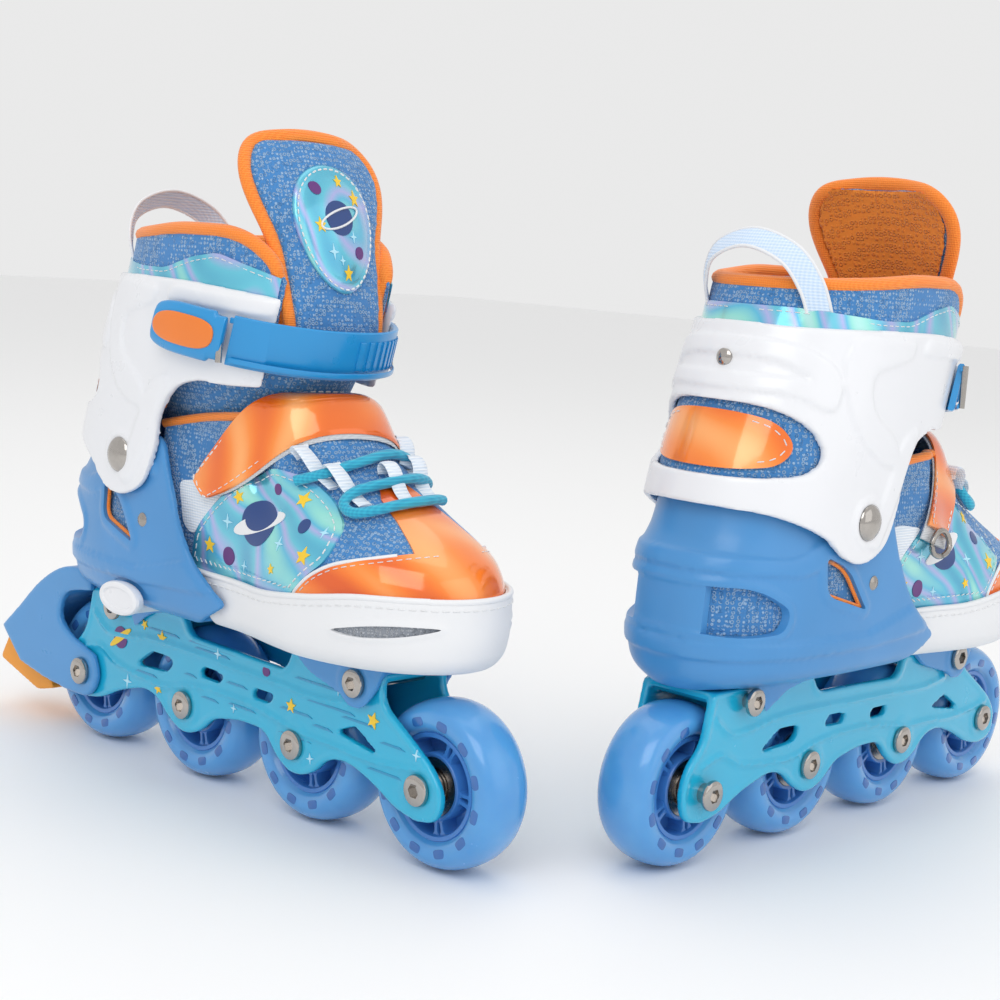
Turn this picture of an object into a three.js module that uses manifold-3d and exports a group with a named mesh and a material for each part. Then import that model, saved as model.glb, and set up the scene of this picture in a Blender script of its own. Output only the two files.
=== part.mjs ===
// A pair of child's adjustable inline skates, built as an assembly of separate solids, in millimetres.
// Each skate is modelled in its own frame: +X to the toe, +Y to the medial side, +Z up, origin on the
// ground under the middle of the wheel line. The right skate points along +X, the left one is its
// mirror image and points along +Y. Only the right skate carries the heel brake.
import * as THREE from "three";
import { mergeVertices } from "three/addons/utils/BufferGeometryUtils.js";
import Module from "manifold-3d";

const wasm = await Module();
wasm.setup();

// ---------------------------------------------------------------- driving dimensions
const GAP = 0.4; // clearance between neighbouring pieces
const RUNNING_GAP = 0.3; // radial clearance of a shaft or a bearing in its seat

const WHEEL_RADIUS = 32;
const WHEEL_WIDTH = 24;
const WHEEL_GAP = 6.5; // space between one tread and the next
const WHEEL_COUNT = 4;
const TREAD_LAND = 5; // width of the flat strip that meets the ground
const TREAD_FACETS = 18;
const HUB_RADIUS = 17.5;
const BEARING_RADIUS = 11;
const BEARING_WIDTH = 7;
const AXLE_RADIUS = 4;
const HEAD_RADIUS = 6.2;
const HEAD_HEIGHT = 2.4;
const BOLT_RADIUS = 3;

const FRAME_WALL = 3;
const FRAME_SIDE_GAP = 2; // between a tread's side and the frame wall
const DECK_THICKNESS = 3.5;
const DECK_GAP = 2.5; // between the top of a wheel and the deck above it
const BOSS_RADIUS = 11.5;

const REAR_BOLT_X = -83; // the two cross bolts that join the boot to the frame
const FRONT_BOLT_X = 72;
const BOLT_DROP = 5; // bolt axis below the deck's top

const BOOT_BACK = -118;
const TOE_TIP = 116;
const BALL_HALF_WIDTH = 42;
const WAIST_HALF_WIDTH = 35.8;
const HEEL_HALF_WIDTH = 41;
const SHELL_WALL = 2.8;
const TOE_WALL = 2.6;
const UPPER_WALL = 2.4;
const LINER_WALL = 5;
const COLLAR_WALL = 6;
const SOLE_PLATE = 2.5;

const CUFF_WALL = 3;
const CUFF_HALF_WIDTH = 43.4;
const PIVOT_X = -51;
const PIVOT_HEIGHT = 66; // above the frame's deck
const PIVOT_HEAD_RADIUS = 7.2;
const TOE_TRAVEL = 20; // size adjustment

const STRAP_HEIGHT = 19;
const STRAP_THICKNESS = 2.6;
const LEVER_LENGTH = 34;
const LEVER_THICKNESS = 5.2;
const POWER_STRAP_WIDTH = 22;
const LACE_RADIUS = 2.1;

const BRAKE_WALL = 3;
const BRAKE_PAD_HALF_WIDTH = 14;

// The left skate's centre, seen from the right skate's, and the pair's middle in that frame.
const LEFT_SKATE = new THREE.Vector2(151, 178);
const PAIR_MIDDLE = new THREE.Vector2(7.83, 132.7);

// ---------------------------------------------------------------- derived places
const PITCH = 2 * WHEEL_RADIUS + WHEEL_GAP;
const AXLE_Z = WHEEL_RADIUS;
const WHEEL_X = Array.from({ length: WHEEL_COUNT }, (_, i) => (i - (WHEEL_COUNT - 1) / 2) * PITCH);
const FRAME_IN = WHEEL_WIDTH / 2 + FRAME_SIDE_GAP;
const FRAME_OUT = FRAME_IN + FRAME_WALL;
const DECK_TOP = 2 * WHEEL_RADIUS + DECK_GAP + DECK_THICKNESS;
const BOLT_Z = DECK_TOP - BOLT_DROP;
const LUG_IN = FRAME_OUT + GAP;
const LUG_OUT = LUG_IN + SHELL_WALL;
const PIVOT_Z = DECK_TOP + PIVOT_HEIGHT;
const TOE_FLOOR = DECK_TOP + 4; // underside of the toe shell
const FLOOR_TOP = TOE_FLOOR + TOE_WALL + GAP + SOLE_PLATE; // top of the sole plate and heel block
const FOOTBED_TOP = FLOOR_TOP + GAP + 3.6;
const UP = (z) => DECK_TOP + z; // a height above the frame's deck

const COLOURS = {
  shellBlue: [0x3f86cc, 0.42, 0],
  frameBlue: [0x1fb4dc, 0.3, 0.1],
  wheelBlue: [0x5b9bdd, 0.25, 0],
  white: [0xf0f1f3, 0.45, 0],
  buckleBlue: [0x1d95d6, 0.4, 0],
  orange: [0xf6862a, 0.5, 0],
  meshBlue: [0x3d84c6, 0.85, 0],
  laceBlue: [0x1aa3cf, 0.75, 0],
  steel: [0xc9c6c2, 0.25, 1],
  padOrange: [0xf3962f, 0.6, 0],
};

// ---------------------------------------------------------------- solids
function toSolid(geometry) {
  const g = geometry.clone();
  g.deleteAttribute("normal");
  g.deleteAttribute("uv");
  const merged = mergeVertices(g, 1e-4);
  return new wasm.Manifold(
    new wasm.Mesh({
      numProp: 3,
      vertProperties: new Float32Array(merged.attributes.position.array),
      triVerts: new Uint32Array(merged.index.array),
    }),
  );
}

function toGeometry(solid) {
  const mesh = solid.getMesh();
  const g = new THREE.BufferGeometry();
  g.setAttribute("position", new THREE.BufferAttribute(new Float32Array(mesh.vertProperties), 3));
  g.setIndex(new THREE.BufferAttribute(new Uint32Array(mesh.triVerts), 1));
  g.computeVertexNormals();
  return g;
}

const joined = (solids) => solids.reduce((a, b) => a.add(b));
const without = (solid, cuts) => cuts.reduce((a, b) => a.subtract(b), solid);

// The triangles that close a flat ring, wound the way the ring runs.
function capOf(ring) {
  const normal = new THREE.Vector3();
  ring.forEach((p, i) => normal.add(p.clone().cross(ring[(i + 1) % ring.length])));
  const u = ring[1].clone().sub(ring[0]).normalize();
  const v = normal.clone().normalize().cross(u);
  const flat = ring.map((p) => new THREE.Vector2(p.dot(u), p.dot(v)));
  return THREE.ShapeUtils.triangulateShape(flat, []);
}

// A closed solid through rings of points; each ring has the same count, and both ends are capped.
function loft(rings) {
  const n = rings[0].length;
  const last = (rings.length - 1) * n;
  const faces = [];
  for (let r = 0; r < last; r += n)
    for (let i = 0; i < n; i++) {
      const [a, b] = [r + i, r + ((i + 1) % n)];
      faces.push(a, b, b + n, a, b + n, a + n);
    }
  for (const [i, j, k] of capOf(rings[0])) faces.push(k, j, i);
  for (const [i, j, k] of capOf(rings[rings.length - 1])) faces.push(last + i, last + j, last + k);
  const points = new Float32Array(rings.flat().flatMap((p) => p.toArray()));
  const build = (triangles) =>
    new wasm.Manifold(
      new wasm.Mesh({ numProp: 3, vertProperties: points, triVerts: new Uint32Array(triangles) }),
    );
  const solid = build(faces);
  return solid.volume() > 0 ? solid : build(faces.reverse());
}

// A side-view outline, in X and Z, extruded from y0 to y1.
function slab(shape, y0, y1, curveSegments = 8) {
  const g = new THREE.ExtrudeGeometry(shape, { depth: y1 - y0, bevelEnabled: false, curveSegments });
  g.rotateX(Math.PI / 2).translate(0, y1, 0);
  return toSolid(g);
}

function polygon(points) {
  return new THREE.Shape(points.map(([x, z]) => new THREE.Vector2(x, z)));
}

// A smooth closed side-view outline through the given points.
function smoothOutline(points, samples = 28) {
  const curve = new THREE.SplineCurve([...points, points[0]].map(([x, z]) => new THREE.Vector2(x, z)));
  return new THREE.Shape(curve.getPoints(samples).slice(0, -1));
}

function block(x0, x1, y0, y1, z0, z1) {
  const g = new THREE.BoxGeometry(x1 - x0, y1 - y0, z1 - z0);
  return toSolid(g.translate((x0 + x1) / 2, (y0 + y1) / 2, (z0 + z1) / 2));
}

// A cylinder across the skate, along Y.
function crossRod(x, z, radius, y0, y1, sides = 16) {
  const g = new THREE.CylinderGeometry(radius, radius, y1 - y0, sides);
  return toSolid(g.translate(x, (y0 + y1) / 2, z));
}

// The cut for a shaft of the given radius: its flats, not its corners, keep the running gap.
function boreFor(x, z, radius, y0, y1, sides = 8) {
  return crossRod(x, z, (radius + RUNNING_GAP) / Math.cos(Math.PI / sides), y0, y1, sides);
}

// A turned piece about the Y axis: [radius, y] pairs round a closed profile.
function turned(profile, sides, x = 0, z = 0, phase = 0) {
  const points = [...profile, profile[0]].map(([r, y]) => new THREE.Vector2(r, y));
  const g = new THREE.LatheGeometry(points, sides, phase);
  const solid = toSolid(g.translate(x, 0, z));
  if (solid.volume() > 0) return solid;
  return toSolid(new THREE.LatheGeometry(points.reverse(), sides, phase).translate(x, 0, z));
}

// ---------------------------------------------------------------- boot forms
// One level of the boot: a long oval in plan, from back to front, with the given half width.
function ovalRing(z, back, front, half, power = 2.6, count = 20) {
  const [middle, reach] = [(back + front) / 2, (front - back) / 2];
  const bulge = (v) => Math.sign(v) * Math.abs(v) ** (2 / power);
  return Array.from({ length: count }, (_, i) => {
    const t = (i / count) * 2 * Math.PI;
    return new THREE.Vector3(middle + reach * bulge(Math.cos(t)), half * bulge(Math.sin(t)), z);
  });
}

// Levels of the heel shell's outer face: height above the deck, inset of the back, half width.
const HEEL_LEVELS = [
  [-14, 14, LUG_OUT], [-1, 7, LUG_OUT + 0.8], [5, 3, 35.6], [9, 1.6, HEEL_HALF_WIDTH - 1.6],
  [14, 0.6, HEEL_HALF_WIDTH - 0.6], [25, 0, HEEL_HALF_WIDTH], [42, 0.6, HEEL_HALF_WIDTH - 0.8],
  [51, 3, HEEL_HALF_WIDTH - 1.2], [60, 9, HEEL_HALF_WIDTH - 1.4], [80, 15, HEEL_HALF_WIDTH - 1.6],
];
const HEEL_FRONT = 70; // the heel form runs on under the toe and is cut to its edge

function heelForm(inset, bottom = -14) {
  return loft(
    HEEL_LEVELS.filter(([z]) => z >= bottom).map(([z, back, half]) =>
      ovalRing(UP(z), BOOT_BACK + back + inset, HEEL_FRONT, half - inset),
    ),
  );
}

// Levels of the ankle's outer face, which the cuff, collar and strap follow.
const ANKLE_LEVELS = [
  [44, 3, 14], [60, 4, 20], [80, 8, 27], [100, 15, 33], [120, 23, 38], [141, 30, 43], [165, 36, 47],
];
function ankleRing(z, inset, count = 20) {
  const i = Math.max(1, ANKLE_LEVELS.findIndex(([level]) => level >= z));
  const [low, high] = [ANKLE_LEVELS[i - 1], ANKLE_LEVELS[i]];
  const share = (z - low[0]) / (high[0] - low[0]);
  const at = (k) => low[k] + share * (high[k] - low[k]);
  return ovalRing(UP(z), BOOT_BACK + at(1) + inset, at(2) - inset, CUFF_HALF_WIDTH - inset, 2.3, count);
}
function ankleForm(inset, low, high) {
  const levels = [low, ...ANKLE_LEVELS.map(([z]) => z).filter((z) => z > low && z < high), high];
  return loft(levels.map((z) => ankleRing(z, inset)));
}

// One level of the forefoot in plan: parallel at the waist, widest at the ball, round at the toe.
function footRing(z, tip, ball, waist, ballX, inset = 0, count = 22) {
  const lean = 2.5; // the toe leans to the medial side
  const side = (s) => [
    [-60, s * waist], [-15, s * waist], [14, s * waist], [ballX - 14, s * (ball - 1.4)],
    [ballX + 4, s * ball], [ballX + 0.45 * (tip - ballX), s * (ball - 3.4) + 0.4 * lean],
    [ballX + 0.75 * (tip - ballX), s * 0.68 * ball + 0.7 * lean],
    [ballX + 0.94 * (tip - ballX), s * 0.36 * ball + lean],
  ];
  const outline = [...side(-1), [tip, lean], ...side(1).reverse()];
  const curve = new THREE.CatmullRomCurve3(outline.map(([x, y]) => new THREE.Vector3(x, y, z)), true);
  return curve.getPoints(count).slice(0, -1).map((p, i) => {
    const ahead = curve.getTangent(i / count);
    return new THREE.Vector3(p.x - inset * ahead.y, p.y + inset * ahead.x, p.z);
  });
}

// Levels of the toe shell's outer face: height above the deck, how far the outline is drawn in.
const TOE_LEVELS = [[4, 6.2], [6.5, 3.2], [11, 1], [19, 0], [29, 0], [33, 0.6]];
function toeForm(inset, levels = TOE_LEVELS) {
  return loft(
    levels.map(([z, draw]) => {
      const tight = draw + inset;
      return footRing(UP(z), TOE_TIP - tight, BALL_HALF_WIDTH - tight, WAIST_HALF_WIDTH - tight, 56);
    }),
  );
}

// Levels of the soft upper: height above the deck, toe tip, half width at the ball and at the waist.
const FOOT = TOE_TIP - TOE_WALL - GAP;
const BALL = BALL_HALF_WIDTH - TOE_WALL - GAP;
const WAIST = WAIST_HALF_WIDTH - TOE_WALL - GAP;
const UPPER_FLOOR = FLOOR_TOP + GAP - DECK_TOP;
const UPPER_LEVELS = [
  [UPPER_FLOOR, FOOT - 3, BALL - 2.8, WAIST - 2.8, 56], [14, FOOT - 1, BALL - 1, WAIST - 1, 56],
  [21, FOOT - 0.4, BALL - 0.4, WAIST - 0.4, 56], [33, FOOT - 1.2, BALL - 1, WAIST - 1, 56],
  [41, FOOT - 5, BALL - 2.2, WAIST - 0.5, 54], [48, FOOT - 13, BALL - 5.5, WAIST - 0.5, 50],
  [56, FOOT - 28, BALL - 9, WAIST - 0.4, 42], [64, FOOT - 45, BALL - 10, WAIST - 1, 34],
  [75, FOOT - 61, BALL - 11, WAIST - 2, 24],
  [94, FOOT - 75, BALL - 13, WAIST - 4, 18],
];
function upperForm(inset, drop = 0) {
  return loft(
    UPPER_LEVELS.map(([z, tip, ball, waist, ballX]) =>
      footRing(UP(z) - drop, tip - inset, ball - inset, waist - inset, ballX),
    ),
  );
}

// ---------------------------------------------------------------- running gear
function wheel(x) {
  const half = WHEEL_WIDTH / 2;
  const seat = BEARING_RADIUS + RUNNING_GAP;
  const shoulder = half - BEARING_WIDTH - RUNNING_GAP;
  const tread = WHEEL_RADIUS / Math.cos(Math.PI / TREAD_FACETS); // flats, not corners, touch the ground
  const rise = tread - HUB_RADIUS;
  const side = [
    [seat - 2.4, shoulder], [seat, shoulder], [seat, half], [HUB_RADIUS + 0.3 * rise, half],
    [HUB_RADIUS + 0.84 * rise, half * 0.66], [tread, TREAD_LAND / 2],
  ];
  const profile = [...side.map(([r, y]) => [r, -y]), ...side.slice().reverse()];
  const windows = Array.from({ length: 5 }, (_, i) => {
    const [near, far] = [seat + 1.6, HUB_RADIUS - 0.8];
    const corner = (r, t) => [r * Math.cos(t), r * Math.sin(t)];
    const shape = polygon([corner(near, -0.3), corner(far, -0.36), corner(far, 0.36), corner(near, 0.3)]);
    const g = new THREE.ExtrudeGeometry(shape, { depth: WHEEL_WIDTH, bevelEnabled: false });
    g.rotateZ((i / 5) * 2 * Math.PI).rotateX(Math.PI / 2).translate(x, half, AXLE_Z);
    return toSolid(g);
  });
  return without(turned(profile, TREAD_FACETS, x, AXLE_Z, Math.PI / TREAD_FACETS), windows);
}

// Two ball bearings on the spacer that holds them apart.
function bearings(x) {
  const half = WHEEL_WIDTH / 2;
  const inner = half - BEARING_WIDTH;
  const bore = (AXLE_RADIUS + RUNNING_GAP) / Math.cos(Math.PI / 8);
  const profile = [
    [bore, -half], [BEARING_RADIUS, -half], [BEARING_RADIUS, -inner], [bore + 2, -inner],
    [bore + 2, inner], [BEARING_RADIUS, inner], [BEARING_RADIUS, half], [bore, half],
  ];
  return turned(profile, 8, x, AXLE_Z);
}

// A shaft with a flanged head at each end, and a hexagon socket in each head.
function crossBolt(x, z, radius, seat) {
  const end = seat + GAP + HEAD_HEIGHT;
  const heads = [[HEAD_RADIUS, -seat - GAP], [HEAD_RADIUS - 1, -end]];
  const shaft = [
    ...heads.map(([r, y]) => new THREE.Vector2(r, y)).reverse(), new THREE.Vector2(radius, -seat - GAP),
    new THREE.Vector2(radius, seat + GAP), ...heads.map(([r, y]) => new THREE.Vector2(r, -y)),
  ];
  const closed = [new THREE.Vector2(0, -end), ...shaft, new THREE.Vector2(0, end)];
  const solid = toSolid(new THREE.LatheGeometry(closed, 10).translate(x, 0, z));
  const socket = (y0, y1) => crossRod(x, z, 2.4, y0, y1, 6);
  return without(solid, [socket(-end - 1, -end + 1.4), socket(end - 1.4, end + 1)]);
}

// Outline of one side wall: bosses round the axles, arches between them, and a notch under the boot.
function frameOutline() {
  const s = new THREE.Shape();
  const [rear, front] = [WHEEL_X[0], WHEEL_X[WHEEL_COUNT - 1]];
  const arch = AXLE_Z + 3;
  const notch = DECK_TOP - 12;
  s.moveTo(rear + 2, DECK_TOP);
  s.lineTo(rear - 3, DECK_TOP - 22);
  s.lineTo(rear - BOSS_RADIUS * 0.94, AXLE_Z + BOSS_RADIUS * 0.35);
  s.absarc(rear, AXLE_Z, BOSS_RADIUS, Math.PI * 0.9, Math.PI * 1.72, false);
  for (let i = 1; i < WHEEL_COUNT - 1; i++) {
    const before = (WHEEL_X[i - 1] + WHEEL_X[i]) / 2;
    s.quadraticCurveTo(before + 6, arch + 3, WHEEL_X[i] - BOSS_RADIUS * 1.1, AXLE_Z - 4);
    s.absarc(WHEEL_X[i], AXLE_Z, BOSS_RADIUS, Math.PI * 1.2, Math.PI * 1.8, false);
  }
  const last = (WHEEL_X[WHEEL_COUNT - 2] + front) / 2;
  s.quadraticCurveTo(last - 10, arch + 3, front - BOSS_RADIUS * 1.1, AXLE_Z - 6);
  s.absarc(front, AXLE_Z, BOSS_RADIUS, Math.PI * 1.28, Math.PI * 2.12, false);
  s.lineTo(FRONT_BOLT_X + 14, DECK_TOP - 6);
  s.lineTo(FRONT_BOLT_X + 10, DECK_TOP);
  s.lineTo(FRONT_BOLT_X - 38, DECK_TOP);
  s.quadraticCurveTo(FRONT_BOLT_X - 40, notch, FRONT_BOLT_X - 44, notch);
  s.lineTo(REAR_BOLT_X + 60, notch + 2.5);
  s.quadraticCurveTo(REAR_BOLT_X + 52, notch + 4, REAR_BOLT_X + 50, DECK_TOP);
  return s;
}

function frame() {
  const outline = frameOutline();
  const walls = [slab(outline, -FRAME_OUT, -FRAME_IN, 4), slab(outline, FRAME_IN, FRAME_OUT, 4)];
  const deckLow = DECK_TOP - DECK_THICKNESS;
  const decks = [
    block(WHEEL_X[0] + 3, REAR_BOLT_X + 28, -FRAME_IN - 1, FRAME_IN + 1, deckLow, DECK_TOP),
    block(FRONT_BOLT_X - 36, FRONT_BOLT_X + 9, -FRAME_IN - 1, FRAME_IN + 1, deckLow, DECK_TOP),
  ];
  const webs = [1, 2, 3].map((i) => {
    const x = (WHEEL_X[i - 1] + WHEEL_X[i]) / 2;
    return block(x - 2.4, x + 2.4, -FRAME_IN - 1, FRAME_IN + 1, AXLE_Z + 16, AXLE_Z + 24);
  });
  const bosses = WHEEL_X.flatMap((x) => [-1, 1].map((s) => {
    const [near, far] = [WHEEL_WIDTH / 2 + GAP, FRAME_IN + 1];
    return crossRod(x, AXLE_Z, AXLE_RADIUS + 3, s > 0 ? near : -far, s > 0 ? far : -near, 8);
  }));
  const holes = [
    ...WHEEL_X.map((x) => boreFor(x, AXLE_Z, AXLE_RADIUS, -30, 30)),
    boreFor(REAR_BOLT_X, BOLT_Z, BOLT_RADIUS, -30, 30),
    boreFor(FRONT_BOLT_X, BOLT_Z, BOLT_RADIUS, -30, 30),
  ];
  const reach = FRAME_OUT + 5;
  const windows = [
    [[-71, 42], [-57, 50], [-43, 49], [-48, 43.5]], [[-26, 46.5], [-24, 49.5], [-9, 48.5], [-11, 46]],
    [[60, 43.5], [71, 47], [84, 39.5]],
  ].map((points) => slab(polygon(points.map(([x, z]) => [x * PITCH / 70.5, z + AXLE_Z - 32])), -reach, reach));
  return without(joined([...walls, ...decks, ...webs, ...bosses]), [...holes, ...windows]);
}

// ---------------------------------------------------------------- boot
// Side view of the heel shell: low at the back, high at the pivots, then a long slant to the toe.
function heelOutline() {
  return polygon([
    [BOOT_BACK - 8, UP(-1)], [BOOT_BACK - 8, PIVOT_Z + 8], [PIVOT_X - 36, PIVOT_Z + 8],
    [PIVOT_X - 11, PIVOT_Z + 10], [PIVOT_X + 12, PIVOT_Z + 11], [PIVOT_X + 22, PIVOT_Z + 9],
    [PIVOT_X + 27, PIVOT_Z - 5], [PIVOT_X + 37, UP(40)], [PIVOT_X + 49, UP(26)],
    [PIVOT_X + 65, UP(15)], [PIVOT_X + 60, UP(12)], [PIVOT_X + 48, UP(5)],
    [PIVOT_X + 31, UP(1)], [REAR_BOLT_X + 36, UP(-1)], [REAR_BOLT_X + 22, UP(-4)],
    [REAR_BOLT_X + 11, BOLT_Z - 7], [REAR_BOLT_X + 4, BOLT_Z - 9], [REAR_BOLT_X - 4, BOLT_Z - 9],
    [REAR_BOLT_X - 13, BOLT_Z - 6], [REAR_BOLT_X - 22, UP(-4)],
  ]);
}

// The bracket that joins the sole to the front of the frame.
function frontBracket() {
  const lug = polygon([
    [FRONT_BOLT_X - 38, TOE_FLOOR - GAP], [FRONT_BOLT_X - 36, DECK_TOP], [FRONT_BOLT_X - 8, BOLT_Z - 7.5],
    [FRONT_BOLT_X + 4, BOLT_Z - 8.4], [FRONT_BOLT_X + 9, BOLT_Z - 2], [FRONT_BOLT_X + 15, TOE_FLOOR - GAP],
  ]);
  const neck = block(FRONT_BOLT_X - 22, FRONT_BOLT_X + 3, -12, 12, DECK_TOP + 2, FLOOR_TOP - 1);
  const plate = block(SOLE_JOINT - 12, FRONT_BOLT_X + 13, -26, 26, FLOOR_TOP - SOLE_PLATE, FLOOR_TOP);
  return joined([slab(lug, -LUG_OUT, LUG_OUT), neck, plate]);
}

const SOLE_JOINT = PIVOT_X + 46; // where the heel block hands over to the sole plate
function heelShell() {
  const cavity = heelForm(SHELL_WALL, 2).subtract(block(-200, SOLE_JOINT, -60, 60, 0, FLOOR_TOP));
  const shell = heelForm(0).intersect(slab(heelOutline(), -60, 60)).subtract(cavity);
  const teardrop = smoothOutline([
    [PIVOT_X - 13, PIVOT_Z - 14], [PIVOT_X - 4, PIVOT_Z - 24], [PIVOT_X + 6, PIVOT_Z - 33],
    [PIVOT_X - 6, PIVOT_Z - 30], [PIVOT_X - 13, PIVOT_Z - 24],
  ], 12);
  const heelWindow = smoothOutline([
    [BOOT_BACK + 3, UP(38)], [BOOT_BACK + 22, UP(39)], [BOOT_BACK + 33, UP(31)], [BOOT_BACK + 24, UP(24)],
    [BOOT_BACK + 4, UP(24)],
  ], 12);
  const vents = [-1, 1].flatMap((s) => [
    slab(teardrop, s > 0 ? 24 : -60, s > 0 ? 60 : -24), slab(heelWindow, s > 0 ? 12 : -60, s > 0 ? 60 : -12),
  ]);
  const headHole = (x, seat) => [-1, 1].map((s) =>
    crossRod(x, BOLT_Z, HEAD_RADIUS + GAP, s > 0 ? seat : -60, s > 0 ? 60 : -seat, 14));
  const holes = [
    boreFor(PIVOT_X, PIVOT_Z, AXLE_RADIUS, -60, 60),
    boreFor(REAR_BOLT_X, BOLT_Z, BOLT_RADIUS, -60, 60),
    boreFor(FRONT_BOLT_X, BOLT_Z, BOLT_RADIUS, -60, 60),
    boreFor(BUTTON_X, BUTTON_Z, BUTTON_RADIUS, -60, -BUTTON_BED),
    ...headHole(REAR_BOLT_X, LUG_OUT),
  ];
  const saddle = block(-200, 120, -LUG_IN, LUG_IN, 0, DECK_TOP + GAP); // astride the frame
  return without(joined([shell, frontBracket()]), [saddle, ...holes, ...vents]);
}

// An oval cap on a round stem that is pressed into the side of the heel to free the toe.
const BUTTON_X = PIVOT_X + 5;
const BUTTON_Z = UP(4.6);
const BUTTON_RADIUS = 4;
const BUTTON_BED = 22; // how near the middle line its bore ends
const BUTTON_TRAVEL = 1.5;
function sizeButton() {
  const back = HEEL_HALF_WIDTH + GAP + BUTTON_TRAVEL;
  const stem = crossRod(BUTTON_X, BUTTON_Z, BUTTON_RADIUS, -back - 1, -BUTTON_BED - BUTTON_TRAVEL - GAP, 12);
  const oval = new THREE.Shape().absellipse(BUTTON_X, UP(8.5), 13.5, 6.5, 0, 2 * Math.PI);
  return stem.add(slab(oval, -back - 2.4, -back, 7));
}

const TOE_REAR = -19.5; // the toe shell's sides run back inside the heel shell
function toeShell() {
  const outside = toeForm(0);
  const inside = toeForm(TOE_WALL, TOE_LEVELS.map(([z, draw]) => [z < 5 ? z + TOE_WALL : z + 0.6, draw]));
  const rearCut = polygon([
    [-80, 0], [-80, 300], [TOE_REAR, 300], [TOE_REAR, FLOOR_TOP + GAP],
    [SOLE_JOINT + 4, FLOOR_TOP + GAP], [SOLE_JOINT + 4, 0],
  ]);
  const slot = block(-80, FRONT_BOLT_X + 3 + GAP, -12 - GAP, 12 + GAP, 0, FLOOR_TOP);
  return without(outside, [inside, slab(rearCut, -80, 80), slot]);
}

// The laced forefoot: side panels, toe cap and instep, open at the ankle.
function upper() {
  const shell = upperForm(0).subtract(upperForm(UPPER_WALL, UPPER_WALL + 1));
  const top = polygon([
    [-90, UP(80)], [-36, UP(80)], [-14, UP(85)], [12, UP(88)], [48, UP(88)], [90, UP(110)], [-90, UP(110)],
  ]);
  const ankleHole = loft([64, 78, 100].map((z) => ovalRing(UP(z), -80, 16 + (100 - z) * 0.15, WAIST - 7)));
  const rear = block(-120, -36, -80, 80, 0, 300);
  const rearLow = block(-120, -12, -80, 80, 0, FOOTBED_TOP + 2);
  return without(shell, [slab(top, -80, 80), rear, rearLow, ankleHole]);
}

// Heel cup and footbed of the inner boot.
function liner() {
  const top = PIVOT_Z + 1;
  const cup = heelForm(SHELL_WALL + GAP, 2).subtract(heelForm(SHELL_WALL + GAP + LINER_WALL, 2));
  const keep = block(-200, -36 - 1, -60, 60, FLOOR_TOP + GAP, top);
  const bed = toeForm(TOE_WALL + GAP + UPPER_WALL + GAP + 6, [[FLOOR_TOP + GAP - DECK_TOP, 0],
    [FOOTBED_TOP - DECK_TOP, 0]]).intersect(block(-40, TOE_TIP - 30, -60, 60, 0, 300));
  const heelBed = heelForm(SHELL_WALL + GAP, 2).intersect(
    block(-200, -36 - 1, -60, 60, FLOOR_TOP + GAP, FOOTBED_TOP));
  return joined([cup.intersect(keep), heelBed, bed]);
}

// ---------------------------------------------------------------- cuff and its soft lining
function cuff() {
  const side = smoothOutline([
    [PIVOT_X - 75, UP(137)], [-40, UP(139)], [-5, UP(138)], [30, UP(134)], [46, UP(129)],
    [52, UP(122)], [46, UP(104)], [30, UP(101)], [-8, UP(100)], [-20, UP(95)], [-27, UP(84)],
    [-30, UP(70)], [PIVOT_X + 15, UP(56)], [PIVOT_X, UP(49.5)], [PIVOT_X - 14, UP(53)], [PIVOT_X - 24, UP(61)],
    [PIVOT_X - 44, UP(69)], [PIVOT_X - 62, UP(71.5)], [PIVOT_X - 75, UP(72)],
  ], 34);
  const wall = ankleForm(0, 46, 141).subtract(ankleForm(CUFF_WALL, 45, 142));
  const heelClear = heelForm(-GAP, 2);
  const frontGap = block(12, 120, -28.6, 28.6, 0, 400);
  const window = smoothOutline([
    [BOOT_BACK + 4, UP(111)], [BOOT_BACK + 26, UP(109)], [BOOT_BACK + 40, UP(99)], [BOOT_BACK + 44, UP(89)],
    [BOOT_BACK + 30, UP(83)], [BOOT_BACK + 4, UP(82)], [BOOT_BACK - 30, UP(96)],
  ], 16);
  const holes = [boreFor(PIVOT_X, PIVOT_Z, AXLE_RADIUS, -60, 60)];
  const body = wall.intersect(slab(side, -60, 60, 1));
  const windowCut = slab(window, -60, 60, 1);
  return joined([without(body, [heelClear, frontGap, windowCut, ...holes]), leverEars(), strapPin()]);
}

function outlinePoint(angle, z, offset) {
  const ring = ankleRing(z, -offset, 96);
  const i = ((angle / (2 * Math.PI)) * 96 + 96) % 96;
  const [low, share] = [Math.floor(i), i % 1];
  return ring[low].clone().lerp(ring[(low + 1) % 96], share);
}
// The angle round the ankle at which its outline reaches the given x, on the side of sign s.
function angleAt(x, s) {
  let [low, high] = [0.02, Math.PI - 0.02];
  for (let i = 0; i < 30; i++) {
    const middle = (low + high) / 2;
    if (outlinePoint(middle, STRAP_MIDDLE, 0).x > x) low = middle;
    else high = middle;
  }
  return s * low;
}

// A flat band that follows the ankle from one angle to another, standing off its surface.
function ankleBand(from, to, steps, standOff, thickness, height) {
  const rings = Array.from({ length: steps + 1 }, (_, i) => {
    const share = i / steps;
    const angle = from + share * (to - from);
    const middle = STRAP_Z(outlinePoint(angle, STRAP_MIDDLE, standOff).x);
    return [[0, -1], [1, -1], [1, 1], [0, 1]].map(([out, edge]) => {
      const z = middle + (edge * height(share)) / 2;
      return outlinePoint(angle, z - DECK_TOP, standOff + out * thickness).setZ(z);
    });
  });
  return loft(rings);
}

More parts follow.
